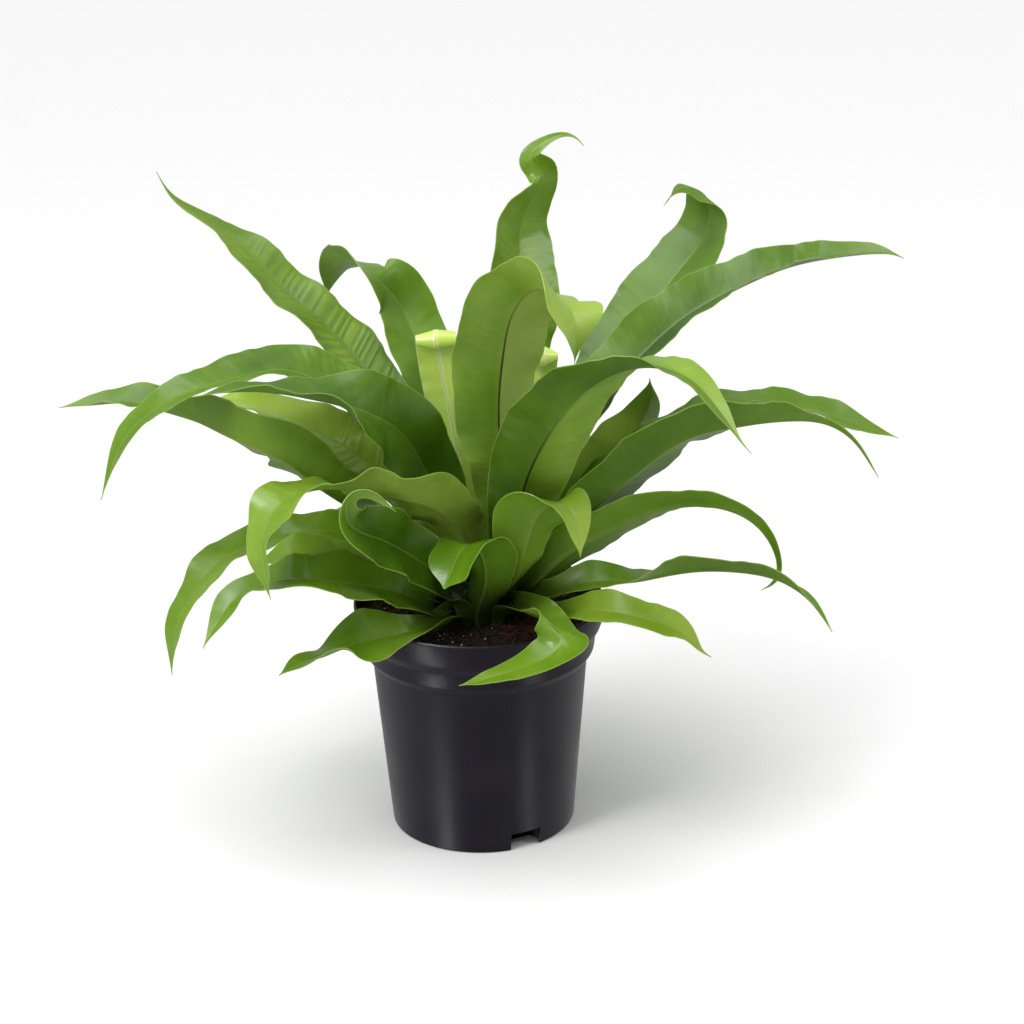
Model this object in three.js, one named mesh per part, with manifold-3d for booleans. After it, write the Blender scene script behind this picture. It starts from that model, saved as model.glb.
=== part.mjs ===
// A young bird's nest fern in a round nursery pot: narrow waved fronds in a nest-like
// rosette, standing in dark peat soil. Millimetres, +Z up, the origin at the middle of
// the pot's underside. The front of the plant faces -Y.
import * as THREE from 'three';
import { mergeVertices } from 'three/addons/utils/BufferGeometryUtils.js';
import Module from 'manifold-3d';

const wasm = await Module();
wasm.setup();

// Pot
const POT_HEIGHT = 161.3;
const RIM_RADIUS = 85;
const FOOT_RADIUS = 63.1;
const POT_SEGMENTS = 48;
const FLOOR_THICKNESS = 2.2;
const NOTCH_WIDTH = 17;
const NOTCH_HEIGHT = 5;
const NOTCH_REACH = 8;
const NOTCH_FIRST_ANGLE = 25;
const NOTCH_COUNT = 4;

// The pot's section as radius and height: up the outside, over the lip and down the
// inside. The wall widens to an upright collar, and the lip flares out above it.
const POT_PROFILE = [
  [0, 0], [61.9, 0], [FOOT_RADIUS, 1.4], [73.3, 120.4], [74.9, 122.6], [77.3, 125.6],
  [78.4, 128.6], [79.3, 137.8], [82.6, 143], [83.9, 146.5], [RIM_RADIUS, 159],
  [84.2, POT_HEIGHT], [82.8, 160.8], [82.3, 147.8], [81, 144.2], [77.9, 139.2], [77, 129],
  [75.8, 126.2], [73.4, 123.4], [71.9, 121], [61.7, FLOOR_THICKNESS], [0, FLOOR_THICKNESS],
];

// Soil
const SOIL_TOP = 149.2;
const SOIL_MOUND_HEIGHT = 4.6;
const SOIL_MOUND_RADIUS = 30;
const SOIL_SEGMENTS = 32;
const SOIL_BUMP = 0.7;
const SOIL_SEED = 7;
const GAP = 0.3;
const SOIL_BOTTOM = FLOOR_THICKNESS + GAP;
const MERGE_DISTANCE = 1e-4;

// Rings of the soil: radii across its top, then radius and height down its side
const SOIL_TOP_RINGS = [9, 19, 29, 41, 53, 65, 75, 81.5];
const SOIL_SIDE_RINGS = [
  [80.2, 144.6], [77.1, 139.5], [76.2, 129.6], [75, 126.8], [72.6, 124], [71.2, 121.6],
  [61.2, SOIL_BOTTOM],
];

// Fronds
const SPLINE_STEPS = 16;
const STATION_SPACING = 14;
const FEWEST_STATIONS = 14;
const MOST_STATIONS = 23;
const ACROSS = [-1, -0.5, 0, 0.5, 1];
const WAVE_LENGTH = 48;
const WAVE_SHIFT = 0.37;
const WAVE_STEEPNESS = 1.6;
const RUFFLE_GROWTH = 1.5;
const FULL_RUFFLE_HALF_WIDTH = 18;
const MARGIN_LEVEL = 0.85;
const SMALLEST_WIDTH = 1.6;
const SPACE_ROUND_STEM = 0.32;

// Places along a frond go from 0 at its foot to 1 at its tip
const FULL_CUP_PLACE = 0.12;
const FULL_RUFFLE_PLACE = 0.15;
const THICKNESS_AT = [[0, 2.6], [0.12, 1.6], [0.3, 0.95], [1, 0.85]];
const MIDRIB_AT = [[0, 1.0], [0.3, 1.3], [0.8, 0.5], [1, 0]];

const MATERIALS = {
  frond: { color: '#5d9a2c', roughness: 0.45, metalness: 0 },
  youngFrond: { color: '#a9c94e', roughness: 0.4, metalness: 0 },
  pot: { color: '#28262c', roughness: 0.4, metalness: 0 },
  soil: { color: '#2c1d14', roughness: 0.95, metalness: 0 },
};

// The fronds of the front, the sides and the top, and the two young rolled ones.
// facing is the plan direction a frond leans to, in degrees from +X towards +Y.
// A route point is x, y, z, the blade's width there, and its roll in degrees.
const FRONDS = [
  {
    name: 'frond_upper_left', facing: 150, cup: 14, ruffle: 1.8, phase: 0.00,
    route: [
      [-8, 5, 146, 4, 0], [-11, 6, 168, 6, 0], [-24, 24, 220, 15, -20], [-47, 38, 270, 32, -15],
      [-68, 39, 312, 48, -5], [-95, 50, 343, 50, 0], [-128, 72, 367, 42, -5],
      [-155, 90, 391, 31, -5], [-181, 105, 404, 18, 10], [-203, 118, 415, 6, 0],
      [-210, 123, 424, 3, 10], [-214, 125, 432, 3, 10],
    ],
  },
  {
    name: 'frond_back_left_hook', facing: 124, cup: 14, ruffle: 2.8, phase: 0.37,
    route: [
      [-4, 8, 146, 4, 0], [-6, 10, 168, 6, 0], [-11, 37, 221, 14, -5], [-26, 61, 269, 36, -5],
      [-34, 82, 312, 50, 0], [-48, 108, 342, 50, 0], [-65, 102, 364, 46, 35],
      [-83, 129, 370, 36, 55], [-97, 150, 353, 24, 25], [-104, 159, 330, 4, 20],
    ],
  },
  {
    name: 'frond_left_long', facing: 191, cup: 16, ruffle: 1.4, phase: 0.74,
    route: [
      [-10, -2, 146, 4, 0], [-13, -2, 168, 6, 0], [-15, 4, 202, 14, -60], [-40, 3, 253, 34, -50],
      [-68, -6, 302, 48, -35], [-97, -11, 326, 54, -20], [-122, -13, 336, 54, -15],
      [-147, -21, 335, 50, -5], [-173, -31, 330, 42, -10], [-198, -38, 321, 32, -10],
      [-221, -43, 304, 22, -20], [-233, -45, 284, 12, -25], [-243, -47, 255, 3, -20],
    ],
  },
  {
    name: 'frond_left_broad', facing: 204, cup: 20, ruffle: 2.2, phase: 0.11,
    route: [
      [-13, -8, 146, 4, 0], [-16, -10, 168, 6, 0], [-8, -8, 199, 18, -85], [-24, -5, 241, 42, -85],
      [-41, -23, 283, 54, -85], [-60, -44, 310, 56, -50], [-82, -56, 326, 54, -15],
      [-102, -64, 333, 44, 5], [-122, -68, 337, 34, 5], [-146, -74, 339, 22, 5],
      [-172, -82, 335, 3, -10],
    ],
  },
  {
    name: 'frond_left_shiny', facing: 166, cup: 12, ruffle: 1.6, phase: 0.48,
    route: [
      [-15, 4, 146, 4, 0], [-19, 5, 168, 6, 0], [-26, 7, 201, 14, -25], [-51, 10, 239, 34, -25],
      [-83, 11, 269, 54, -20], [-114, 27, 282, 50, -10], [-141, 39, 291, 38, -5],
      [-161, 40, 296, 22, -5], [-177, 44, 292, 3, -10],
    ],
  },
  {
    name: 'frond_left_far', facing: 177, cup: 24, ruffle: 2.2, phase: 0.85,
    route: [
      [-15, -2, 146, 4, 0], [-19, -3, 168, 6, 0], [-33, 2, 189, 13, 0], [-65, 18, 216, 28, 20],
      [-96, -11, 252, 50, 45], [-123, -33, 283, 54, 55], [-153, -19, 293, 52, 45],
      [-181, 6, 298, 46, 35], [-207, 7, 306, 42, 0], [-234, 9, 309, 32, -10],
      [-257, 10, 304, 18, -10], [-275, 11, 300, 3, -20],
    ],
  },
  {
    name: 'frond_front_left_big', facing: 216, cup: 16, ruffle: 3.2, phase: 0.22,
    route: [
      [-8, -13, 146, 4, 0], [-10, -17, 168, 6, 0], [0, -14, 183, 14, 30], [-9, -27, 221, 34, 50],
      [-30, -46, 251, 50, 50], [-58, -58, 263, 50, 35], [-83, -70, 273, 44, 30],
      [-105, -86, 278, 40, 10], [-126, -100, 271, 38, 0], [-138, -111, 250, 30, 5],
      [-135, -114, 227, 16, 5], [-131, -113, 209, 3, 10],
    ],
  },
  {
    name: 'frond_scoop', facing: 228, cup: 26, ruffle: 3.6, phase: 0.59,
    route: [
      [-8, -21, 146, 4, 0], [-10, -27, 168, 8, -30], [-16, -22, 176, 14, -115],
      [-34, -50, 208, 38, -100], [-52, -76, 233, 44, -85], [-68, -96, 247, 40, -85],
      [-78, -104, 255, 26, -95], [-81, -105, 266, 13, -100], [-77, -102, 275, 9, -90],
      [-66, -97, 273, 9, -70], [-51, -90, 258, 3, -50],
    ],
  },
  {
    name: 'frond_left_droop', facing: 191, cup: 16, ruffle: 2.0, phase: 0.96,
    route: [
      [-21, -5, 146, 4, 0], [-27, -6, 168, 9, -35], [-32, -9, 179, 14, -45], [-55, -11, 200, 20, -35],
      [-86, -18, 219, 32, -25], [-118, -15, 222, 37, -15], [-152, -15, 213, 36, -20],
      [-174, -25, 204, 34, -20], [-190, -38, 187, 28, -15], [-204, -41, 159, 18, -20],
      [-206, -41, 127, 3, -15],
    ],
  },
  {
    name: 'frond_left_inner_low', facing: 199, cup: 18, ruffle: 2.0, phase: 0.33,
    route: [
      [-20, -10, 146, 4, 0], [-25, -13, 168, 9, -35], [-29, -19, 174, 13, -40],
      [-52, -37, 190, 19, -25], [-77, -44, 207, 29, -15], [-102, -52, 220, 32, -5],
      [-125, -59, 222, 28, 0], [-143, -54, 211, 8, 5],
    ],
  },
  {
    name: 'frond_left_low', facing: 206, cup: 22, ruffle: 2.6, phase: 0.70,
    route: [
      [-17, -14, 146, 4, 0], [-21, -18, 168, 7, -40], [-29, -33, 170, 13, -55],
      [-51, -55, 192, 33, -30], [-76, -73, 207, 42, -15], [-100, -94, 219, 40, -10],
      [-123, -93, 220, 34, 0], [-146, -84, 210, 28, -5], [-161, -87, 199, 22, -25],
      [-169, -90, 186, 14, -35], [-178, -94, 169, 3, -20],
    ],
  },
  {
    name: 'frond_rim_left', facing: 217, cup: 16, ruffle: 3.2, phase: 0.07,
    route: [
      [-13, -18, 146, 4, 0], [-15, -24, 163, 8, -30], [-28, -45, 162, 12, 25],
      [-45, -65, 168, 22, 0], [-60, -67, 165, 38, -20], [-75, -73, 165, 44, -10],
      [-89, -77, 165, 34, 20], [-100, -86, 162, 24, 35], [-113, -95, 161, 18, 20],
      [-122, -102, 158, 12, 20], [-129, -108, 155, 3, 20],
    ],
  },
  {
    name: 'frond_rim_front', facing: 308, cup: 12, ruffle: 2.8, phase: 0.44,
    route: [
      [12, -19, 146, 6, 0], [15, -23, 163, 12, 10], [27, -46, 175, 14, 20], [42, -71, 179, 26, -20],
      [54, -94, 178, 36, -35], [49, -105, 168, 36, 25], [31, -108, 160, 28, 45],
      [10, -108, 152, 18, 35], [-14, -106, 144, 3, 50],
    ],
  },
  {
    name: 'frond_right_lime', facing: 333, cup: 14, ruffle: 1.2, phase: 0.81,
    route: [
      [19, -11, 146, 6, 0], [24, -14, 164, 10, 5], [46, -38, 163, 13, 10], [70, -57, 177, 28, 15],
      [89, -67, 179, 35, 5], [105, -70, 176, 34, 0], [120, -71, 171, 32, 0],
      [132, -72, 166, 28, 0], [139, -75, 160, 16, 0], [142, -79, 154, 4, 0],
      [146, -81, 150, 3, 0], [151, -80, 148, 3, 0],
    ],
  },
  {
    name: 'frond_right_thin', facing: 349, cup: 18, ruffle: 1.6, phase: 0.18,
    route: [
      [22, -3, 146, 4, 0], [27, -5, 166, 7, 0], [45, -19, 170, 14, 15], [71, -27, 185, 28, 10],
      [98, -25, 185, 34, -5], [122, -22, 188, 34, -45], [151, -28, 193, 30, -50],
      [184, -34, 191, 22, -50], [206, -39, 184, 16, -50], [223, -42, 169, 8, 0],
      [235, -44, 148, 3, 5],
    ],
  },
  {
    name: 'frond_right_hook', facing: 352, cup: 18, ruffle: 1.0, phase: 0.55,
    route: [
      [22, 3, 146, 4, 0], [27, 5, 168, 7, -15], [36, -5, 173, 13, -85], [61, -10, 200, 34, -75],
      [87, -12, 216, 38, -65], [115, -14, 230, 34, -55], [149, -15, 234, 28, -45],
      [176, -17, 227, 22, -40], [193, -20, 212, 13, -40], [202, -21, 191, 8, -30],
      [200, -20, 175, 6, -25], [190, -19, 169, 3, -15],
    ],
  },
  {
    name: 'frond_right_droop', facing: 3, cup: 20, ruffle: 1.6, phase: 0.92,
    route: [
      [16, 0, 146, 4, 0], [19, 0, 168, 6, -15], [34, 4, 187, 18, -75], [68, -3, 221, 38, -65],
      [102, -10, 255, 48, -60], [135, -14, 282, 50, -50], [172, -4, 287, 44, -40],
      [207, 8, 285, 32, -30], [234, 11, 279, 12, -20], [255, 12, 264, 4, -25],
      [272, 13, 236, 3, -25],
    ],
  },
  {
    name: 'frond_right_upper_long', facing: 14, cup: 18, ruffle: 2.2, phase: 0.29,
    route: [
      [14, 6, 146, 4, 0], [18, 7, 168, 6, 0], [38, 15, 190, 14, 20], [70, 16, 226, 30, 15],
      [108, 23, 256, 42, 5], [147, 44, 274, 48, 0], [182, 54, 282, 48, 0], [217, 57, 278, 40, 5],
      [244, 64, 269, 32, 20], [268, 70, 256, 20, 30], [296, 77, 242, 3, 25],
    ],
  },
  {
    name: 'frond_front_right_arch', facing: 312, cup: 16, ruffle: 1.6, phase: 0.66,
    route: [
      [10, -12, 146, 4, 0], [13, -14, 168, 6, 0], [20, -25, 209, 26, -25], [31, -40, 254, 50, -50],
      [42, -54, 291, 58, -40], [58, -76, 325, 58, -30], [81, -96, 352, 54, -15],
      [107, -110, 362, 42, 0], [131, -122, 356, 29, 10], [146, -132, 341, 20, 20],
      [157, -137, 324, 7, 15], [162, -140, 315, 3, 10], [168, -141, 309, 3, 5],
    ],
  },
  {
    name: 'frond_upper_right_long', facing: 24, cup: 34, ruffle: 1.2, phase: 0.03,
    route: [
      [9, 4, 146, 4, 0], [12, 5, 168, 6, 0], [33, 10, 213, 16, 35], [54, 18, 256, 34, 20],
      [82, 34, 298, 48, 5], [112, 51, 325, 54, 15], [142, 67, 345, 50, 15], [180, 82, 361, 46, 10],
      [219, 97, 370, 36, 10], [257, 114, 369, 24, 15], [287, 127, 365, 16, 25],
      [305, 135, 356, 3, 35],
    ],
  },
  {
    name: 'frond_upper_right_hook', facing: 42, cup: 14, ruffle: 1.8, phase: 0.40,
    route: [
      [6, 8, 146, 4, 0], [8, 10, 168, 6, 0], [44, 30, 231, 18, 10], [72, 53, 276, 38, 5],
      [106, 99, 315, 54, 10], [141, 127, 352, 54, 10], [164, 146, 376, 52, -5],
      [166, 148, 394, 42, 0], [155, 141, 406, 26, -40], [145, 133, 409, 14, -5],
      [135, 124, 400, 3, 70],
    ],
  },
  {
    name: 'frond_top_twist', facing: 95, cup: 10, ruffle: 2.4, phase: 0.77,
    route: [
      [1, 10, 146, 4, 0], [1, 12, 168, 6, 0], [16, 30, 220, 18, 25], [25, 56, 269, 36, 30],
      [32, 54, 323, 50, 20], [36, 66, 361, 54, 15], [36, 78, 388, 54, 40], [41, 88, 408, 42, 40],
      [51, 92, 422, 25, 45], [53, 92, 431, 22, 65], [46, 90, 438, 22, -25], [38, 91, 441, 20, -15],
      [44, 96, 448, 12, 10], [56, 100, 455, 6, 25], [67, 104, 457, 4, 40], [75, 106, 454, 3, 35],
      [79, 107, 447, 3, 30],
    ],
  },
  {
    name: 'frond_front_tall', facing: 278, cup: 12, ruffle: 2.4, phase: 0.14,
    route: [
      [1, -7, 146, 4, 0], [1, -9, 168, 6, 0], [15, -8, 213, 20, 15], [14, -17, 266, 42, 20],
      [13, -23, 309, 60, 20], [17, -28, 344, 64, 15], [24, -38, 374, 62, 5],
      [38, -56, 396, 56, -5], [53, -80, 401, 56, -14], [64, -94, 391, 50, 12],
      [66, -98, 376, 30, 15], [64, -96, 363, 12, 15], [63, -90, 353, 3, 0],
    ],
  },
  {
    name: 'frond_small_pointed', facing: 32, cup: 20, ruffle: 2.0, phase: 0.51,
    route: [
      [11, 12, 146, 4, 0], [14, 15, 168, 6, 0], [42, 24, 191, 17, 15], [67, 29, 219, 36, 10],
      [90, 47, 243, 46, 15], [111, 73, 259, 42, 10], [123, 85, 275, 20, 5], [122, 83, 288, 3, -10],
    ],
  },
  {
    name: 'frond_front_centre_twist', facing: 292, cup: 16, ruffle: 3.0, phase: 0.88,
    route: [
      [5, -15, 146, 4, 0], [6, -19, 168, 6, 0], [22, -36, 190, 22, -5], [29, -51, 220, 44, 0],
      [36, -57, 244, 52, -8], [47, -62, 256, 38, 8], [58, -70, 258, 32, 35], [64, -76, 250, 28, 45],
      [66, -79, 237, 18, 40], [66, -80, 220, 3, 25],
    ],
  },
  {
    name: 'frond_front_small_fold', facing: 262, cup: 10, ruffle: 2.6, phase: 0.25,
    route: [
      [0, -22, 146, 6, 0], [0, -28, 166, 15, -10], [6, -42, 186, 26, -15], [7, -55, 210, 40, -15],
      [0, -65, 229, 50, -10], [-9, -74, 233, 54, -8], [-16, -81, 223, 46, -20],
      [-20, -84, 211, 34, -30], [-22, -86, 203, 12, -30],
    ],
  },
  {
    name: 'frond_crozier_left', facing: 96, cup: 10, ruffle: 0, phase: 0, curl: 5.6,
    route: [
      [-3, 2, 146, 4, 0], [-4, 2, 168, 6, 0], [-5, 19, 203, 12, 10], [-12, 19, 258, 22, -10],
      [-19, 19, 304, 29, -5], [-24, 19, 337, 28, 0],
    ],
  },
  {
    name: 'frond_crozier_right', facing: 80, cup: 10, ruffle: 0, phase: 0, curl: 6.5,
    route: [
      [4, 1, 146, 4, 0], [5, 2, 168, 6, 0], [17, 2, 202, 12, -25], [30, 11, 248, 20, -5],
      [41, 18, 292, 22, -10], [46, 20, 324, 22, -10],
    ],
  },
];

// Low fronds at the back of the rosette, which arch out and droop. foot is the plan
// direction of the frond's foot, reach and top are lengths, and droop says how much of
// its height the frond loses again at the tip.
const BACK_FRONDS = [
  { name: 'frond_back_1', facing: 138, foot: 152, reach: 118, top: 206, droop: 0.5, width: 28 },
  { name: 'frond_back_2', facing: 117, foot: 130, reach: 160, top: 250, droop: 0.7, width: 46 },
  { name: 'frond_back_3', facing: 105, foot: 110, reach: 195, top: 230, droop: 0.9, width: 46 },
  { name: 'frond_back_4', facing: 89, foot: 90, reach: 215, top: 252, droop: 0.7, width: 50 },
  { name: 'frond_back_5', facing: 68, foot: 69, reach: 190, top: 226, droop: 1.0, width: 46 },
  { name: 'frond_back_6', facing: 51, foot: 55, reach: 150, top: 240, droop: 0.6, width: 42 },
];
const BACK_FOOT_RADIUS = 22;
const BACK_NECK_RADIUS = 27.5;
const BACK_CUP = 18;
const BACK_RUFFLE = 3.6;
const BACK_PHASE_STEP = 0.29;
const FOOT_HEIGHT = 146;
const FOOT_WIDTH = 4;
const NECK_HEIGHT = 168;
const NECK_WIDTH = 6;
const TIP_WIDTH = 3;

// How far out, how high and how wide an arching frond is at each point of its route
const ARCH = [
  { out: 0.16, up: 0.40, wide: 0.45 },
  { out: 0.38, up: 0.85, wide: 0.85 },
  { out: 0.62, up: 1.00, wide: 1.00 },
  { out: 0.84, up: 0.86, wide: 0.72 },
];

// The rolled tips of the two young fronds
const CURL_POINTS = 8;
const CURL_POINTS_PER_TURN = 6;
const CURL_TIGHTENING = 0.085;
const CURL_NARROWING = 0.02;
const CURL_RISE = 2;
const CURL_CROWDING = 1.8;

// Constants of the linear congruential generator behind the soil's bumps
const RANDOM_FACTOR = 1664525;
const RANDOM_STEP = 1013904223;
const RANDOM_RANGE = 2 ** 32;

function radians(degrees) {
  return degrees * Math.PI / 180;
}

function seededRandom(seed) {
  let state = seed;
  return function next() {
    state = (state * RANDOM_FACTOR + RANDOM_STEP) % RANDOM_RANGE;
    return state / RANDOM_RANGE;
  };
}

// Straight-line reading of a list of [place, value] pairs
function readAt(pairs, place) {
  for (let i = 1; i < pairs.length; i += 1) {
    if (place <= pairs[i][0]) {
      const [a, va] = pairs[i - 1];
      const [b, vb] = pairs[i];
      return va + (vb - va) * (place - a) / (b - a);
    }
  }
  return pairs[pairs.length - 1][1];
}

// Smooth curve through the route's points, every column carried along
function splinePoints(route) {
  const first = route[0].map((v, k) => 2 * v - route[1][k]);
  const last = route.at(-1).map((v, k) => 2 * v - route.at(-2)[k]);
  const p = [first, ...route, last];
  const fine = [];
  for (let i = 1; i < p.length - 2; i += 1) {
    for (let step = 0; step < SPLINE_STEPS; step += 1) {
      const t = step / SPLINE_STEPS;
      fine.push(p[i].map((v, k) => 0.5 * (
        2 * v
        + (p[i + 1][k] - p[i - 1][k]) * t
        + (2 * p[i - 1][k] - 5 * v + 4 * p[i + 1][k] - p[i + 2][k]) * t * t
        + (3 * v - p[i - 1][k] - 3 * p[i + 1][k] + p[i + 2][k]) * t * t * t
      )));
    }
  }
  fine.push(route.at(-1));
  return fine;
}

// Points along the route, with a frame that doesn't spin: at equal distances, or closer
// together towards the tip where that is rolled
function frondStations(frond) {
  const fine = splinePoints(frond.route);
  const along = [0];
  for (let i = 1; i < fine.length; i += 1) {
    const a = fine[i - 1];
    const b = fine[i];
    along.push(along[i - 1] + Math.hypot(b[0] - a[0], b[1] - a[1], b[2] - a[2]));
  }
  const length = along.at(-1);
  const wanted = frond.curl ? MOST_STATIONS : Math.round(length / STATION_SPACING) + 1;
  const count = Math.min(MOST_STATIONS, Math.max(FEWEST_STATIONS, wanted));
  const crowding = frond.curl ? CURL_CROWDING : 1;
  const places = Array.from({ length: count }, (_, i) => 1 - (1 - i / (count - 1)) ** crowding);
  const rows = places.map((place) => (
    fine[0].map((_, k) => readAt(along.map((s, j) => [s, fine[j][k]]), place * length))
  ));
  const points = rows.map((row) => new THREE.Vector3(row[0], row[1], row[2]));
  const facing = radians(frond.facing);
  let side = new THREE.Vector3(-Math.sin(facing), Math.cos(facing), 0);
  return rows.map((row, i) => {
    const before = points[Math.max(0, i - 1)];
    const after = points[Math.min(count - 1, i + 1)];
    const tangent = after.clone().sub(before).normalize();
    side = side.clone().addScaledVector(tangent, -side.dot(tangent)).normalize();
    const up = new THREE.Vector3().crossVectors(tangent, side);
    const roll = radians(row[4]);
    const across = side.clone().multiplyScalar(Math.cos(roll)).addScaledVector(up, Math.sin(roll));
    return {
      place: places[i],
      point: points[i],
      tangent,
      across,
      up: new THREE.Vector3().crossVectors(tangent, across),
      halfWidth: Math.max(row[3], SMALLEST_WIDTH) / 2,
      length,
    };
  });
}

// How far a point of the blade lies above the midrib's plane: the blade is cupped along
// its midrib and its margins are waved
function bladeLift(frond, station, v) {
  const { place, halfWidth, length } = station;
  const cup = Math.sin(radians(frond.cup)) * Math.min(1, place / FULL_CUP_PLACE);
  const growing = Math.min(1, halfWidth / FULL_RUFFLE_HALF_WIDTH) ** RUFFLE_GROWTH;
  const size = frond.ruffle * growing * Math.min(1, place / FULL_RUFFLE_PLACE);
  const turns = length / WAVE_LENGTH * place + frond.phase + (v > 0 ? WAVE_SHIFT : 0);
  const wave = Math.sin(2 * Math.PI * turns) * Math.abs(v) ** WAVE_STEEPNESS;
  return halfWidth * (Math.abs(v) - MARGIN_LEVEL) * cup + size * wave;
}

function meshFromArrays(vertices, triangles) {
  const mesh = new wasm.Mesh({
    numProp: 3,
    vertProperties: new Float32Array(vertices),
    triVerts: new Uint32Array(triangles),
  });
  mesh.merge();
  return new wasm.Manifold(mesh);
}

// One frond as a closed thin solid, both faces split into the same triangles
function frondSolid(frond) {
  const stations = frondStations(frond);
  const wide = ACROSS.length;
  const count = stations.length;
  const upper = [];
  const lower = [];
  for (const station of stations) {
    const spread = station.halfWidth * Math.cos(radians(frond.cup));
    for (const v of ACROSS) {
      const top = station.point.clone()
        .addScaledVector(station.across, v * spread)
        .addScaledVector(station.up, bladeLift(frond, station, v));
      const rib = v === 0 ? readAt(MIDRIB_AT, station.place) : 0;
      const thickness = readAt(THICKNESS_AT, station.place) + rib;
      upper.push(top.x, top.y, top.z);
      const bottom = top.addScaledVector(station.up, -thickness);
      lower.push(bottom.x, bottom.y, bottom.z);
    }
  }
  const under = wide * count;
  const triangles = [];
  const quad = (a, b, c, d) => triangles.push(a, b, c, a, c, d);
  for (let i = 0; i < count - 1; i += 1) {
    for (let j = 0; j < wide - 1; j += 1) {
      const a = i * wide + j;
      const b = a + 1;
      const c = b + wide;
      const d = a + wide;
      quad(a, d, c, b);
      quad(under + a, under + b, under + c, under + d);
    }
    const left = i * wide;
    const right = left + wide - 1;
    quad(left, under + left, under + left + wide, left + wide);
    quad(right, right + wide, under + right + wide, under + right);
  }
  for (let j = 0; j < wide - 1; j += 1) {
    const end = (count - 1) * wide + j;
    quad(j, j + 1, under + j + 1, under + j);
    quad(end, under + end, under + end + 1, end + 1);
  }
  return { solid: meshFromArrays([...upper, ...lower], triangles), stations };
}

// The plain hole in the soil that a frond's foot stands in
function stemHole(stations) {
  const corners = [];
  for (let i = 0; i < 2; i += 1) {
    const { point, tangent, across, up, halfWidth, place } = stations[i];
    const reach = halfWidth + SPACE_ROUND_STEM;
    const depth = readAt(THICKNESS_AT, place) + readAt(MIDRIB_AT, place) + SPACE_ROUND_STEM;
    const back = i === 0 ? -GAP : 0;
    for (const [sideways, height] of [
      [-reach, -depth], [reach, -depth], [reach, SPACE_ROUND_STEM], [-reach, SPACE_ROUND_STEM],
    ]) {
      const corner = point.clone()
        .addScaledVector(across, sideways)
        .addScaledVector(up, height)
        .addScaledVector(tangent, back);
      corners.push(corner.x, corner.y, corner.z);
    }
  }
  const triangles = [0, 2, 1, 0, 3, 2, 4, 5, 6, 4, 6, 7];
  for (let i = 0; i < 4; i += 1) {
    const j = (i + 1) % 4;
    triangles.push(i, j, 4 + j, i, 4 + j, 4 + i);
  }
  return meshFromArrays(corners, triangles);
}

// The route of a frond at the back: out and up from its neck, then down to its tip
function archRoute(frond) {
  const foot = radians(frond.foot);
  const facing = radians(frond.facing);
  const neck = [BACK_NECK_RADIUS * Math.cos(foot), BACK_NECK_RADIUS * Math.sin(foot)];
  const place = (out, up, width) => [
    neck[0] + Math.cos(facing) * frond.reach * out,
    neck[1] + Math.sin(facing) * frond.reach * out,
    NECK_HEIGHT + (frond.top - NECK_HEIGHT) * up,
    width,
    0,
  ];
  return [
    [BACK_FOOT_RADIUS * Math.cos(foot), BACK_FOOT_RADIUS * Math.sin(foot), FOOT_HEIGHT, FOOT_WIDTH, 0],
    place(0, 0, NECK_WIDTH),
    ...ARCH.map(({ out, up, wide }) => place(out, up, frond.width * wide)),
    place(1, ARCH.at(-1).up - frond.droop, TIP_WIDTH),
  ];
}

// The route of a young frond: up, then rolled over towards the front and into itself
function curledRoute(frond) {
  const [x, y, z, width, roll] = frond.route.at(-1);
  const curl = [];
  for (let i = 1; i <= CURL_POINTS; i += 1) {
    const turn = 2 * Math.PI * i / CURL_POINTS_PER_TURN;
    const radius = frond.curl * (1 - CURL_TIGHTENING * i);
    curl.push([
      x,
      y - frond.curl + radius * Math.cos(turn),
      z + CURL_RISE + radius * Math.sin(turn),
      width * (1 - CURL_NARROWING * i),
      roll,
    ]);
  }
  return [...frond.route, ...curl];
}

function solidFromGeometry(geometry) {
  geometry.deleteAttribute('normal');
  geometry.deleteAttribute('uv');
  const merged = mergeVertices(geometry, MERGE_DISTANCE);
  return meshFromArrays(merged.attributes.position.array, merged.index.array);
}

// The pot, turned from its section, with drainage notches cut through its foot
function potSolid() {
  const section = POT_PROFILE.map(([radius, height]) => new THREE.Vector2(radius, height));
  const turned = new THREE.LatheGeometry(section, POT_SEGMENTS);
  turned.rotateX(Math.PI / 2);
  let pot = solidFromGeometry(turned);
  for (let i = 0; i < NOTCH_COUNT; i += 1) {
    const angle = NOTCH_FIRST_ANGLE + i * 360 / NOTCH_COUNT;
    const box = new THREE.BoxGeometry(NOTCH_REACH, NOTCH_WIDTH, NOTCH_HEIGHT * 2);
    box.translate(FOOT_RADIUS, 0, 0);
    box.rotateZ(radians(angle));
    pot = pot.subtract(solidFromGeometry(box));
  }
  return pot;
}

function soilHeight(radius, bump) {
  const rise = Math.max(0, 1 - (radius / SOIL_MOUND_RADIUS) ** 2);
  return SOIL_TOP + SOIL_MOUND_HEIGHT * rise + bump;
}

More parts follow.
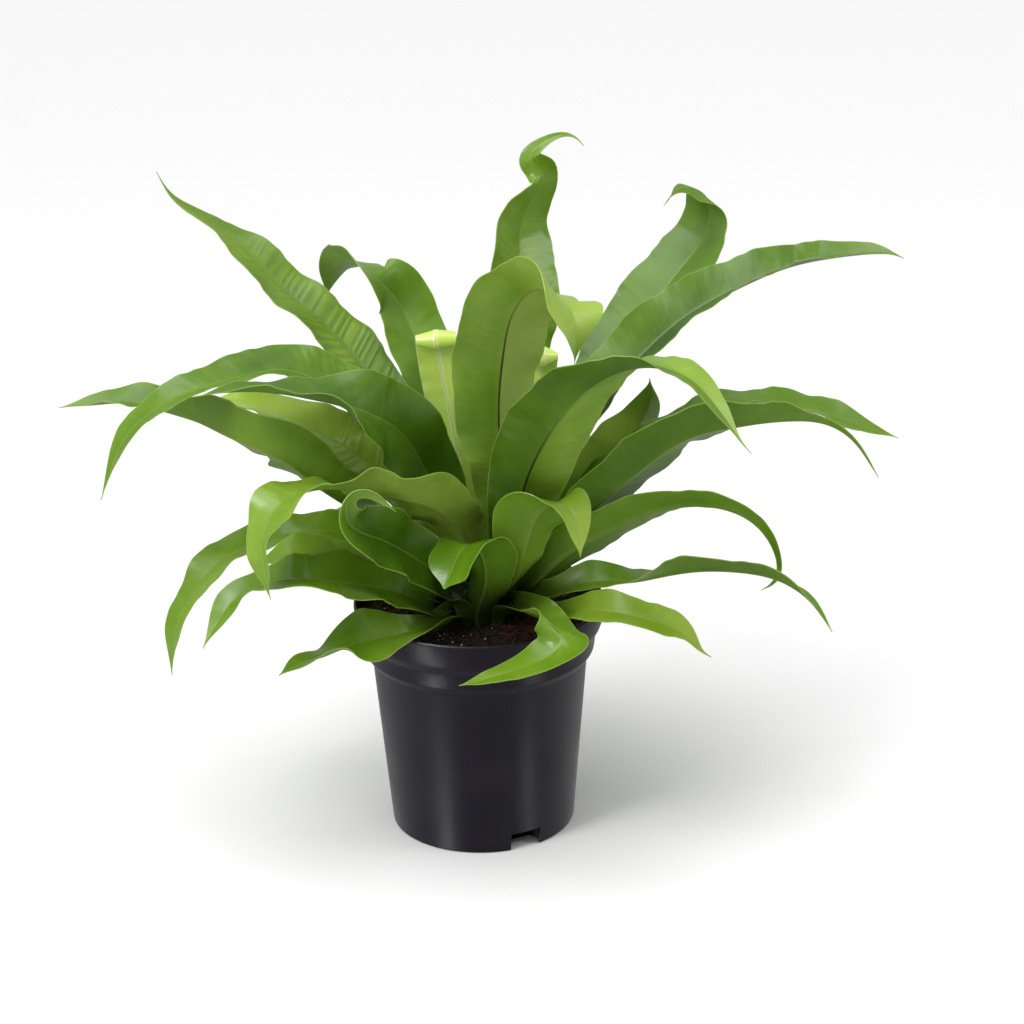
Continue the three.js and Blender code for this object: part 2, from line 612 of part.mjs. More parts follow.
// Soil that fills the pot, with a low uneven mound round the fronds' feet
function soilSolid(holes) {
  const random = seededRandom(SOIL_SEED);
  const vertices = [0, 0, soilHeight(0, 0)];
  const addRing = (radius, heightAt) => {
    for (let j = 0; j < SOIL_SEGMENTS; j += 1) {
      const angle = 2 * Math.PI * j / SOIL_SEGMENTS;
      vertices.push(radius * Math.cos(angle), radius * Math.sin(angle), heightAt());
    }
  };
  for (const radius of SOIL_TOP_RINGS) {
    addRing(radius, () => soilHeight(radius, SOIL_BUMP * (2 * random() - 1)));
  }
  for (const [radius, height] of SOIL_SIDE_RINGS) {
    addRing(radius, () => height);
  }
  const triangles = [];
  const ringStart = (ring) => 1 + ring * SOIL_SEGMENTS;
  for (let j = 0; j < SOIL_SEGMENTS; j += 1) {
    triangles.push(0, ringStart(0) + j, ringStart(0) + (j + 1) % SOIL_SEGMENTS);
  }
  const ringCount = SOIL_TOP_RINGS.length + SOIL_SIDE_RINGS.length;
  for (let ring = 0; ring < ringCount - 1; ring += 1) {
    for (let j = 0; j < SOIL_SEGMENTS; j += 1) {
      const k = (j + 1) % SOIL_SEGMENTS;
      const a = ringStart(ring) + j;
      const b = ringStart(ring) + k;
      const c = ringStart(ring + 1) + k;
      const d = ringStart(ring + 1) + j;
      triangles.push(a, d, c, a, c, b);
    }
  }
  const bottom = vertices.length / 3;
  vertices.push(0, 0, SOIL_BOTTOM);
  for (let j = 0; j < SOIL_SEGMENTS; j += 1) {
    const start = ringStart(ringCount - 1);
    triangles.push(bottom, start + (j + 1) % SOIL_SEGMENTS, start + j);
  }
  let soil = meshFromArrays(vertices, triangles);
  for (const hole of holes) {
    soil = soil.subtract(hole);
  }
  return soil;
}

function meshOf(solid, name, look) {
  const { numProp, vertProperties, triVerts } = solid.getMesh();
  const positions = new Float32Array(triVerts.length * 3);
  triVerts.forEach((vertex, i) => {
    for (let k = 0; k < 3; k += 1) {
      positions[i * 3 + k] = vertProperties[vertex * numProp + k];
    }
  });
  const geometry = new THREE.BufferGeometry();
  geometry.setAttribute('position', new THREE.BufferAttribute(positions, 3));
  geometry.computeVertexNormals();
  const mesh = new THREE.Mesh(geometry, new THREE.MeshStandardMaterial(look));
  mesh.name = name;
  return mesh;
}

const group = new THREE.Group();
group.name = 'potted_birds_nest_fern';

const backFronds = BACK_FRONDS.map((frond, i) => ({
  ...frond,
  cup: BACK_CUP,
  ruffle: BACK_RUFFLE,
  phase: BACK_PHASE_STEP * i,
  route: archRoute(frond),
}));
const holes = [];
for (const frond of [...FRONDS, ...backFronds]) {
  const route = frond.curl ? curledRoute(frond) : frond.route;
  const { solid, stations } = frondSolid({ ...frond, route });
  holes.push(stemHole(stations));
  group.add(meshOf(solid, frond.name, frond.curl ? MATERIALS.youngFrond : MATERIALS.frond));
}
group.add(meshOf(potSolid(), 'pot', MATERIALS.pot));
group.add(meshOf(soilSolid(holes), 'soil', MATERIALS.soil));

export default group;
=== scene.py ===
"""A young bird's nest fern in a black nursery pot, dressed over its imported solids."""
import math
from collections import namedtuple
from random import Random

import bmesh
import bpy
import numpy as np
from mathutils import Matrix, Vector, noise


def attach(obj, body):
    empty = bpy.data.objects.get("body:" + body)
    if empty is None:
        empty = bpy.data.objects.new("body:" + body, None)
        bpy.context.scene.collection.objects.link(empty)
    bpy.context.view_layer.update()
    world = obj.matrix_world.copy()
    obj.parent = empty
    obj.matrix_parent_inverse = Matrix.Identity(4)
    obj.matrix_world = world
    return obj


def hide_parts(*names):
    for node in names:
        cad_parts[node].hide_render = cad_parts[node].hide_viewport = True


bl_info = {
    "name": "Potted bird's nest fern",
    "version": (1, 0, 0),
    "blender": (4, 5, 0),
    "location": "3D Viewport > Sidebar > Fern",
    "description": "Builds the fronds, the pot, the soil and a studio round the packed solids",
    "category": "Add Mesh",
}

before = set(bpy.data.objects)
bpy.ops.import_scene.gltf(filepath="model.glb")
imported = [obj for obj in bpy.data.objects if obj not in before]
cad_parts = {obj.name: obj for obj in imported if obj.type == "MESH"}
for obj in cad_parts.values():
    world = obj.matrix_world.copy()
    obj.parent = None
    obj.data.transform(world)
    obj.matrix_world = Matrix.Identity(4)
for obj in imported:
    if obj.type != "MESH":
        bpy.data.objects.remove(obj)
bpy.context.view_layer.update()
MM = 0.001

# The pot's section as radius and height in mm: up the outside, over the lip, down the inside
POT_OUTSIDE = (
    (61.9, 0), (62.8, 0.4), (63.1, 1.4), (73.3, 120.4), (73.9, 121.2), (74.9, 122.6),
    (77.3, 125.6), (78.0, 127.0), (78.4, 128.6), (79.3, 137.8), (79.9, 138.9), (82.0, 141.9),
    (82.6, 143.0), (83.9, 146.5), (85, 159), (84.9, 160.4), (84.2, 161.3), (83.3, 161.2),
    (82.8, 160.4), (82.3, 147.8), (81, 144.2), (77.9, 139.2), (77, 129), (75.8, 126.2),
    (73.4, 123.4), (71.9, 121), (61.7, 2.2),
)
POT_SIDES = 144
POT_CREASE = 32

# The drainage notches round the foot, in mm and degrees. The one behind each in the soil is
# deeper, so that it looks dark
NOTCH_WIDTH = 22
NOTCH_HEIGHT = 12.5
NOTCH_DEPTH = 20
BED_NOTCH_DEPTH = 44
NOTCH_RADIUS = 62
NOTCH_FIRST_ANGLE = -63.5
NOTCH_COUNT = 3

# The soil bed: its level, the mound round the crown, and its side in mm
SOIL_TOP = 149.2
SOIL_MOUND_HEIGHT = 4.6
SOIL_MOUND_RADIUS = 30
SOIL_RADIUS = 81.5
SOIL_SIDE = ((80.2, 144.6), (77.1, 139.5), (76.2, 129.6), (75, 126.8), (72.6, 124), (61.2, 2.5))

# How fine a blade's route and grid are. Steps are counts, and lengths are in mm. A rolled
# tip has closer points, and is smoothed less
SPLINE_STEPS = 16
ACROSS_STEPS = 26
ACROSS_CROWDING = 1.35
STATION_SPACING = 2.6
CURL_SPACING = 1.0
SMOOTHING = 6.5
CURL_SMOOTHING = 1.5
SMALLEST_WIDTH = 1.6
BLADE_CREASE = 50

# The blade's waves, cup and thickness, as in the solids. Places run from 0 to 1 along it
WAVE_LENGTH = 48
WAVE_SHIFT = 0.37
WAVE_STEEPNESS = 1.6
RUFFLE_GROWTH = 1.5
FULL_RUFFLE_HALF_WIDTH = 18
MARGIN_LEVEL = 0.85
FULL_CUP_PLACE = 0.12
FULL_RUFFLE_PLACE = 0.15
THICKNESS_AT = ((0, 0.12, 0.3, 1), (2.6, 1.6, 0.95, 0.85))
MIDRIB_AT = ((0, 0.3, 0.8, 1), (1.0, 1.3, 0.5, 0))

# The rolled tips of the two young fronds
CURL_POINTS = 8
CURL_POINTS_PER_TURN = 6
CURL_TIGHTENING = 0.085
CURL_NARROWING = 0.02
CURL_RISE = 2

Frond = namedtuple("Frond", "name facing cup ruffle phase route curl", defaults=(0,))
Spine = namedtuple("Spine", "point across up half_width along place length")

# facing is the plan direction a frond leans to, in degrees from +X towards +Y.
# A route point is x, y, z, the blade's width there, and its roll in degrees.
FRONDS = (
    Frond("upper_left", 150, 14, 1.8, 0.00, (
        (-8, 5, 146, 4, 0), (-11, 6, 168, 6, 0), (-24, 24, 220, 15, -20), (-47, 38, 270, 32, -15),
        (-68, 39, 312, 48, -5), (-95, 50, 343, 50, 0), (-128, 72, 367, 42, -5),
        (-155, 90, 391, 31, -5), (-181, 105, 404, 18, 10), (-203, 118, 415, 6, 0),
        (-210, 123, 424, 3, 10), (-214, 125, 432, 3, 10),
    )),
    Frond("back_left_hook", 124, 14, 2.8, 0.37, (
        (-4, 8, 146, 4, 0), (-6, 10, 168, 6, 0), (-11, 37, 221, 14, -5), (-26, 61, 269, 36, -5),
        (-34, 82, 312, 50, 0), (-48, 108, 342, 50, 0), (-65, 102, 364, 46, 35),
        (-83, 129, 370, 36, 55), (-97, 150, 353, 24, 25), (-104, 159, 330, 4, 20),
    )),
    Frond("left_long", 191, 16, 1.4, 0.74, (
        (-10, -2, 146, 4, 0), (-13, -2, 168, 6, 0), (-15, 4, 202, 14, -60), (-40, 3, 253, 34, -50),
        (-68, -6, 302, 48, -35), (-97, -11, 326, 54, -20), (-122, -13, 336, 54, -15),
        (-147, -21, 335, 50, -5), (-173, -31, 330, 42, -10), (-198, -38, 321, 32, -10),
        (-221, -43, 304, 22, -20), (-233, -45, 284, 12, -25), (-243, -47, 255, 3, -20),
    )),
    Frond("left_broad", 204, 20, 2.2, 0.11, (
        (-13, -8, 146, 4, 0), (-16, -10, 168, 6, 0), (-8, -8, 199, 18, -85),
        (-24, -5, 241, 42, -85), (-41, -23, 283, 54, -85), (-60, -44, 310, 56, -50),
        (-82, -56, 326, 54, -15), (-102, -64, 333, 44, 5), (-122, -68, 337, 34, 5),
        (-146, -74, 339, 22, 5), (-172, -82, 335, 3, -10),
    )),
    Frond("left_shiny", 166, 12, 1.6, 0.48, (
        (-15, 4, 146, 4, 0), (-19, 5, 168, 6, 0), (-26, 7, 201, 14, -25), (-51, 10, 239, 34, -25),
        (-83, 11, 269, 54, -20), (-114, 27, 282, 50, -10), (-141, 39, 291, 38, -5),
        (-161, 40, 296, 22, -5), (-177, 44, 292, 3, -10),
    )),
    Frond("left_far", 177, 24, 2.2, 0.85, (
        (-15, -2, 146, 4, 0), (-19, -3, 168, 6, 0), (-33, 2, 189, 13, 0), (-65, 18, 216, 28, 20),
        (-96, -11, 252, 50, 45), (-123, -33, 283, 54, 55), (-153, -19, 293, 52, 45),
        (-181, 6, 298, 46, 35), (-207, 7, 306, 42, 0), (-234, 9, 309, 32, -10),
        (-257, 10, 304, 18, -10), (-275, 11, 300, 3, -20),
    )),
    Frond("front_left_big", 216, 16, 3.2, 0.22, (
        (-8, -13, 146, 4, 0), (-10, -17, 168, 6, 0), (0, -14, 183, 14, 30), (-9, -27, 221, 34, 50),
        (-30, -46, 251, 50, 50), (-58, -58, 263, 50, 35), (-83, -70, 273, 44, 30),
        (-105, -86, 278, 40, 10), (-126, -100, 271, 38, 0), (-138, -111, 250, 30, 5),
        (-135, -114, 227, 16, 5), (-131, -113, 209, 3, 10),
    )),
    Frond("scoop", 228, 26, 3.6, 0.59, (
        (-8, -21, 146, 4, 0), (-10, -27, 168, 8, -30), (-16, -22, 176, 14, -115),
        (-34, -50, 208, 38, -100), (-52, -76, 233, 44, -85), (-68, -96, 247, 40, -85),
        (-78, -104, 255, 26, -95), (-81, -105, 266, 13, -100), (-77, -102, 275, 9, -90),
        (-66, -97, 273, 9, -70), (-51, -90, 258, 3, -50),
    )),
    Frond("left_droop", 191, 16, 2.0, 0.96, (
        (-21, -5, 146, 4, 0), (-27, -6, 168, 9, -35), (-32, -9, 179, 14, -45),
        (-55, -11, 200, 20, -35), (-86, -18, 219, 32, -25), (-118, -15, 222, 37, -15),
        (-152, -15, 213, 36, -20), (-174, -25, 204, 34, -20), (-190, -38, 187, 28, -15),
        (-204, -41, 159, 18, -20), (-206, -41, 127, 3, -15),
    )),
    Frond("left_inner_low", 199, 18, 2.0, 0.33, (
        (-20, -10, 146, 4, 0), (-25, -13, 168, 9, -35), (-29, -19, 174, 13, -40),
        (-52, -37, 190, 19, -25), (-77, -44, 207, 29, -15), (-102, -52, 220, 32, -5),
        (-125, -59, 222, 28, 0), (-143, -54, 211, 8, 5),
    )),
    Frond("left_low", 206, 22, 2.6, 0.70, (
        (-17, -14, 146, 4, 0), (-21, -18, 168, 7, -40), (-29, -33, 170, 13, -55),
        (-51, -55, 192, 33, -30), (-76, -73, 207, 42, -15), (-100, -94, 219, 40, -10),
        (-123, -93, 220, 34, 0), (-146, -84, 210, 28, -5), (-161, -87, 199, 22, -25),
        (-169, -90, 186, 14, -35), (-178, -94, 169, 3, -20),
    )),
    Frond("rim_left", 217, 16, 3.2, 0.07, (
        (-13, -18, 146, 4, 0), (-15, -24, 163, 8, -30), (-28, -45, 162, 12, 25),
        (-45, -65, 168, 22, 0), (-60, -67, 165, 38, -20), (-75, -73, 165, 44, -10),
        (-89, -77, 165, 34, 20), (-100, -86, 162, 24, 35), (-113, -95, 161, 18, 20),
        (-122, -102, 158, 12, 20), (-129, -108, 155, 3, 20),
    )),
    Frond("rim_front", 308, 12, 2.8, 0.44, (
        (12, -19, 146, 6, 0), (15, -23, 163, 12, 10), (27, -46, 175, 14, 20),
        (42, -71, 179, 26, -20), (54, -94, 178, 36, -35), (49, -105, 168, 36, 25),
        (31, -108, 160, 28, 45), (10, -108, 152, 18, 35), (-14, -106, 144, 3, 50),
    )),
    Frond("right_lime", 333, 14, 1.2, 0.81, (
        (19, -11, 146, 6, 0), (24, -14, 164, 10, 5), (46, -38, 163, 13, 10), (70, -57, 177, 28, 15),
        (89, -67, 179, 35, 5), (105, -70, 176, 34, 0), (120, -71, 171, 32, 0),
        (132, -72, 166, 28, 0), (139, -75, 160, 16, 0), (142, -79, 154, 4, 0),
        (146, -81, 150, 3, 0), (151, -80, 148, 3, 0),
    )),
    Frond("right_thin", 349, 18, 1.6, 0.18, (
        (22, -3, 146, 4, 0), (27, -5, 166, 7, 0), (45, -19, 170, 14, 15), (71, -27, 185, 28, 10),
        (98, -25, 185, 34, -5), (122, -22, 188, 34, -45), (151, -28, 193, 30, -50),
        (184, -34, 191, 22, -50), (206, -39, 184, 16, -50), (223, -42, 169, 8, 0),
        (235, -44, 148, 3, 5),
    )),
    Frond("right_hook", 352, 18, 1.0, 0.55, (
        (22, 3, 146, 4, 0), (27, 5, 168, 7, -15), (36, -5, 173, 13, -85), (61, -10, 200, 34, -75),
        (87, -12, 216, 38, -65), (115, -14, 230, 34, -55), (149, -15, 234, 28, -45),
        (176, -17, 227, 22, -40), (193, -20, 212, 13, -40), (202, -21, 191, 8, -30),
        (200, -20, 175, 6, -25), (190, -19, 169, 3, -15),
    )),
    Frond("right_droop", 3, 20, 1.6, 0.92, (
        (16, 0, 146, 4, 0), (19, 0, 168, 6, -15), (34, 4, 187, 18, -75), (68, -3, 221, 38, -65),
        (102, -10, 255, 48, -60), (135, -14, 282, 50, -50), (172, -4, 287, 44, -40),
        (207, 8, 285, 32, -30), (234, 11, 279, 12, -20), (255, 12, 264, 4, -25),
        (272, 13, 236, 3, -25),
    )),
    Frond("right_upper_long", 14, 18, 2.2, 0.29, (
        (14, 6, 146, 4, 0), (18, 7, 168, 6, 0), (38, 15, 190, 14, 20), (70, 16, 226, 30, 15),
        (108, 23, 256, 42, 5), (147, 44, 274, 48, 0), (182, 54, 282, 48, 0), (217, 57, 278, 40, 5),
        (244, 64, 269, 32, 20), (268, 70, 256, 20, 30), (296, 77, 242, 3, 25),
    )),
    Frond("front_right_arch", 312, 16, 1.6, 0.66, (
        (10, -12, 146, 4, 0), (13, -14, 168, 6, 0), (20, -25, 209, 26, -25),
        (31, -40, 254, 50, -50), (42, -54, 291, 58, -40), (58, -76, 325, 58, -30),
        (81, -96, 352, 54, -15), (107, -110, 362, 42, 0), (131, -122, 356, 29, 10),
        (146, -132, 341, 20, 20), (157, -137, 324, 7, 15), (162, -140, 315, 3, 10),
        (168, -141, 309, 3, 5),
    )),
    Frond("upper_right_long", 24, 34, 1.2, 0.03, (
        (9, 4, 146, 4, 0), (12, 5, 168, 6, 0), (33, 10, 213, 16, 35), (54, 18, 256, 34, 20),
        (82, 34, 298, 48, 5), (112, 51, 325, 54, 15), (142, 67, 345, 50, 15),
        (180, 82, 361, 46, 10), (219, 97, 370, 36, 10), (257, 114, 369, 24, 15),
        (287, 127, 365, 16, 25), (305, 135, 356, 3, 35),
    )),
    Frond("upper_right_hook", 42, 14, 1.8, 0.40, (
        (6, 8, 146, 4, 0), (8, 10, 168, 6, 0), (44, 30, 231, 18, 10), (72, 53, 276, 38, 5),
        (106, 99, 315, 54, 10), (141, 127, 352, 54, 10), (164, 146, 376, 52, -5),
        (166, 148, 394, 42, 0), (155, 141, 406, 26, -40), (145, 133, 409, 14, -5),
        (135, 124, 400, 3, 70),
    )),
    Frond("top_twist", 95, 10, 2.4, 0.77, (
        (1, 10, 146, 4, 0), (1, 12, 168, 6, 0), (16, 30, 220, 18, 25), (25, 56, 269, 36, 30),
        (32, 54, 323, 50, 20), (36, 66, 361, 54, 15), (36, 78, 388, 54, 40), (41, 88, 408, 42, 40),
        (51, 92, 422, 25, 45), (53, 92, 431, 22, 65), (46, 90, 438, 22, -25),
        (38, 91, 441, 20, -15), (44, 96, 448, 12, 10), (56, 100, 455, 6, 25), (67, 104, 457, 4, 40),
        (75, 106, 454, 3, 35), (79, 107, 447, 3, 30),
    )),
    Frond("front_tall", 278, 12, 2.4, 0.14, (
        (1, -7, 146, 4, 0), (1, -9, 168, 6, 0), (15, -8, 213, 20, 15), (14, -17, 266, 42, 20),
        (13, -23, 309, 60, 20), (17, -28, 344, 64, 15), (24, -38, 374, 62, 5),
        (38, -56, 396, 56, -5), (53, -80, 401, 56, -14), (64, -94, 391, 50, 12),
        (66, -98, 376, 30, 15), (64, -96, 363, 12, 15), (63, -90, 353, 3, 0),
    )),
    Frond("small_pointed", 32, 20, 2.0, 0.51, (
        (11, 12, 146, 4, 0), (14, 15, 168, 6, 0), (42, 24, 191, 17, 15), (67, 29, 219, 36, 10),
        (90, 47, 243, 46, 15), (111, 73, 259, 42, 10), (123, 85, 275, 20, 5),
        (122, 83, 288, 3, -10),
    )),
    Frond("front_centre_twist", 292, 16, 3.0, 0.88, (
        (5, -15, 146, 4, 0), (6, -19, 168, 6, 0), (22, -36, 190, 22, -5), (29, -51, 220, 44, 0),
        (36, -57, 244, 52, -8), (47, -62, 256, 38, 8), (58, -70, 258, 32, 35),
        (64, -76, 250, 28, 45), (66, -79, 237, 18, 40), (66, -80, 220, 3, 25),
    )),
    Frond("front_small_fold", 262, 10, 2.6, 0.25, (
        (0, -22, 146, 6, 0), (0, -28, 166, 15, -10), (6, -42, 186, 26, -15), (7, -55, 210, 40, -15),
        (0, -65, 229, 50, -10), (-9, -74, 233, 54, -8), (-16, -81, 223, 46, -20),
        (-20, -84, 211, 34, -30), (-22, -86, 203, 12, -30),
    )),
    Frond("crozier_left", 96, 10, 0, 0, (
        (-3, 2, 146, 4, 0), (-4, 2, 168, 6, 0), (-5, 19, 203, 12, 10), (-12, 19, 258, 22, -10),
        (-19, 19, 304, 29, -5), (-24, 19, 337, 28, 0),
    ), 5.6),
    Frond("crozier_right", 80, 10, 0, 0, (
        (4, 1, 146, 4, 0), (5, 2, 168, 6, 0), (17, 2, 202, 12, -25), (30, 11, 248, 20, -5),
        (41, 18, 292, 22, -10), (46, 20, 324, 22, -10),
    ), 6.5),
)

# Low fronds at the back of the rosette, which arch out and droop
BackFrond = namedtuple("BackFrond", "name facing foot reach top droop width")
BACK_FRONDS = (
    BackFrond("back_1", 138, 152, 118, 206, 0.5, 28),
    BackFrond("back_2", 117, 130, 160, 250, 0.7, 46),
    BackFrond("back_3", 105, 110, 195, 230, 0.9, 46),
    BackFrond("back_4", 89, 90, 215, 252, 0.7, 50),
    BackFrond("back_5", 68, 69, 190, 226, 1.0, 46),
    BackFrond("back_6", 51, 55, 150, 240, 0.6, 42),
)
BACK_FOOT_RADIUS = 22
BACK_NECK_RADIUS = 27.5
BACK_CUP = 18
BACK_RUFFLE = 3.6
BACK_PHASE_STEP = 0.29
FOOT_HEIGHT = 146
FOOT_WIDTH = 4
NECK_HEIGHT = 168
NECK_WIDTH = 6
TIP_WIDTH = 3

# How far out, how high and how wide an arching frond is at each point of its route
ARCH = ((0.16, 0.40, 0.45), (0.38, 0.85, 0.85), (0.62, 1.00, 1.00), (0.84, 0.86, 0.72))

# Finer forms than the solids have. First the foot, which is a channel: its half width and
# where it ends, in mm, and its depth, lift and narrowing as shares
FOOT_HALF_WIDTH = 7.5
FOOT_END_OF_CHANNEL = 25
FOOT_LENGTH = 115
CHANNEL_DEPTH = 0.75
CHANNEL_LIFT = 0.15
CHANNEL_NARROWING = 0.12

# The point of the blade: where it starts, how blunt and thin it is, and where waves end
TIP_START = 0.9
TIP_BLUNTNESS = 1.6
LEAST_TIP_SHARE = 0.012
TIP_THINNING = 0.5
STILL_TIP_START = 0.93

# The thin margins and their fine frill, and the rounded midrib with its groove, in mm. The
# last three keep the frill out of step with the waves
MARGIN_THICKNESS = 0.55
MIDRIB_HALF_WIDTH = 1.3
MIDRIB_ROUNDING = 0.05
GROOVE_DEPTH = 0.35
FRILL_LENGTH = 17
FRILL_SIZE = 0.4
FRILL_PHASES = 3
FRILL_SHIFT = 2.3
FRILL_SWAY = 1.3

# Side veins: how far they slant forwards, how far apart the pleats are in metres, and where
# along the blade the pleats are deepest
VEIN_SLANT = 0.38
PLEAT_SPACING = 0.0066
PLEATED_PLACE = 0.50
PLEATED_SPREAD = 0.24

# Colour along the blade: where its foot ends, its middle lies and its tip is, how soft the
# edge of the half with painted light is, and the step between the fronds' own patterns
LIGHT_AT = (0.05, 0.30, 0.72, 1)
LIT_HALF_EDGE = 0.04
SEED_STEP = 0.37
# The painted shade that darkens the blades towards the crown, over their own darker foot
FOOT_SHADE_COLOUR = (0.016, 0.030, 0.004)

# The leaf's patterns: how many to a metre along and across it, and how much detail. Strands
# also drift with the distance from the midrib
DRIFT = (42, 9)
STRANDS = (900, 5, 30)
MOTTLE = (55, 75, 4)
PATCHES = (11, 20, 1)
SWELLS = (75, 28, 1)
PLEAT_DRIFT = 3.2

# Lengths on a blade in metres, with both ends of a smooth rise: where one half passes into
# the other, how far from the midrib and the margin the pleats begin, the pale margin, the
# foot darkened by painted shade, the midribs, and how far apart a young frond's two pale
# lines are
HALVES = (-0.0001, 0.0001)
PLEATS_FROM_RIB = (0.0006, 0.004)
PLEATS_FROM_MARGIN = (-0.001, 0.006)
PALE_MARGIN = (0.0001, 0.0009)
SHADED_FOOT = (0.010, 0.095)
RIB_WIDTH = 0.0004
RIB_WIDTH_SHARE = 0.008
YOUNG_RIB_WIDTH = 0.0005
TWIN_RIB = 0.0011
LEAF_RELIEF = 0.0014

# How dull each face is before its frond's own gloss
UPPER_DULLNESS = 0.43
UNDER_DULLNESS = 0.50
YOUNG_DULLNESS = 0.30
GLOSS_SHARE = 0.19

# The soil bed's grid and its bumps: how long each kind of bump is and how high, in mm
BED_SIDES = 200
BED_RINGS = 62
BED_CREASE = 60
BED_BUMPS = ((9, 1.1), (3.2, 0.7), (1.4, 0.35))
BED_EDGE = 4
BED_EDGE_BUMPS = 0.15
WELD_DISTANCE = 0.00001

# Where the loose grains and fibres lie, in mm: how far out, and the middle and the spread of
# their thick patch along x and along y
CRUMB_REACH = 78.5
PERLITE_REACH = 77
PERLITE_CLUSTER = 26
PERLITE_PATCH = ((-22, 12), (-38, 6))
FIBRE_REACH = 66
FIBRE_PATCH = ((34, 10), (-33, 6))
HAIR_RING = (12, 30)

# Loose grains: the least size in mm and how much more it may be, how flat they are, and the
# model's lumps: their own draw, their depth and how fine the model is
Grain = namedtuple("Grain", "seed least more flatness lumps lump_depth subdivisions crease")
CRUMB = Grain(11, 0.7, 1.7, 0.7, 3, 0.6, 1, 40)
PERLITE = Grain(23, 0.35, 0.6, 0.85, 5, 0.9, 2, 60)
LUMP_SPACING = 1.7
GRAIN_TILT = 0.5
GRAIN_LENGTHS = (0.7, 1.3)
GRAIN_WIDTHS = (0.7, 1.1)
GRAIN_RISE = 0.25

# Thin strands: the least and greatest length and radius in mm, how steeply they climb, and
# how high above the bed they start, which in the thick patch is a little higher
Strand = namedtuple("Strand", "seed lengths radii climbs lift")
COIR = Strand(31, (6, 18), (0.14, 0.30), (-0.1, 0.35), 0.3)
HAIR = Strand(47, (4, 11), (0.08, 0.18), (1.0, 3.0), -0.5)
PATCH_LIFT = 0.4
STRAND_STEPS = 7
STRAND_SIDES = 3
STRAND_BEND = 1.3
STRAND_SAGS = (0.2, 1.0)
STRAND_SAG_SHARE = 0.6
STRAND_THINNING = 0.6
STRAND_CREASE = 60

# The dark tones of the loose pieces
PERLITE_SHADE = (0.42, 0.38, 0.32)
COIR_SHADE = (0.030, 0.013, 0.007)
HAIR_SHADE = (0.020, 0.011, 0.006)

# The stage, in metres. A strip light has its place and its share of the strips' power
FLOOR_RADIUS = 12
FLOOR_SIDES = 96
FLOOR_DROP = 0.0003
OVERHEAD_SPREAD = 55
OVERHEAD_PLACE = (-0.14, -0.06, 1.0)
PANELS = {"left": (-1.05, -0.95, 1.35), "right": (1.30, -0.35, 1.20)}
PANEL_SIZE = (0.5, 0.9)
PANEL_TARGET = (0, 0, 0.22)
STRIP_SIZE = (0.32, 1.0)
STRIP_TARGET = (0, 0, 0.10)
STRIPS = (
    ("left_strip", (-1.12, -0.87, -0.84), 1.0),
    ("right_strip", (1.23, -0.71, -0.83), 0.35),
    ("rim_strip", (-0.75, -0.45, 1.50), 1.6),
)

# The camera: its place in metres, its yaw, pitch and roll in degrees, its sensor in mm
CAMERA_PLACE = (0, -1.5936, 0.8135)
CAMERA_ANGLES = (0.855, 20.344, 1.102)
SENSOR_WIDTH = 36
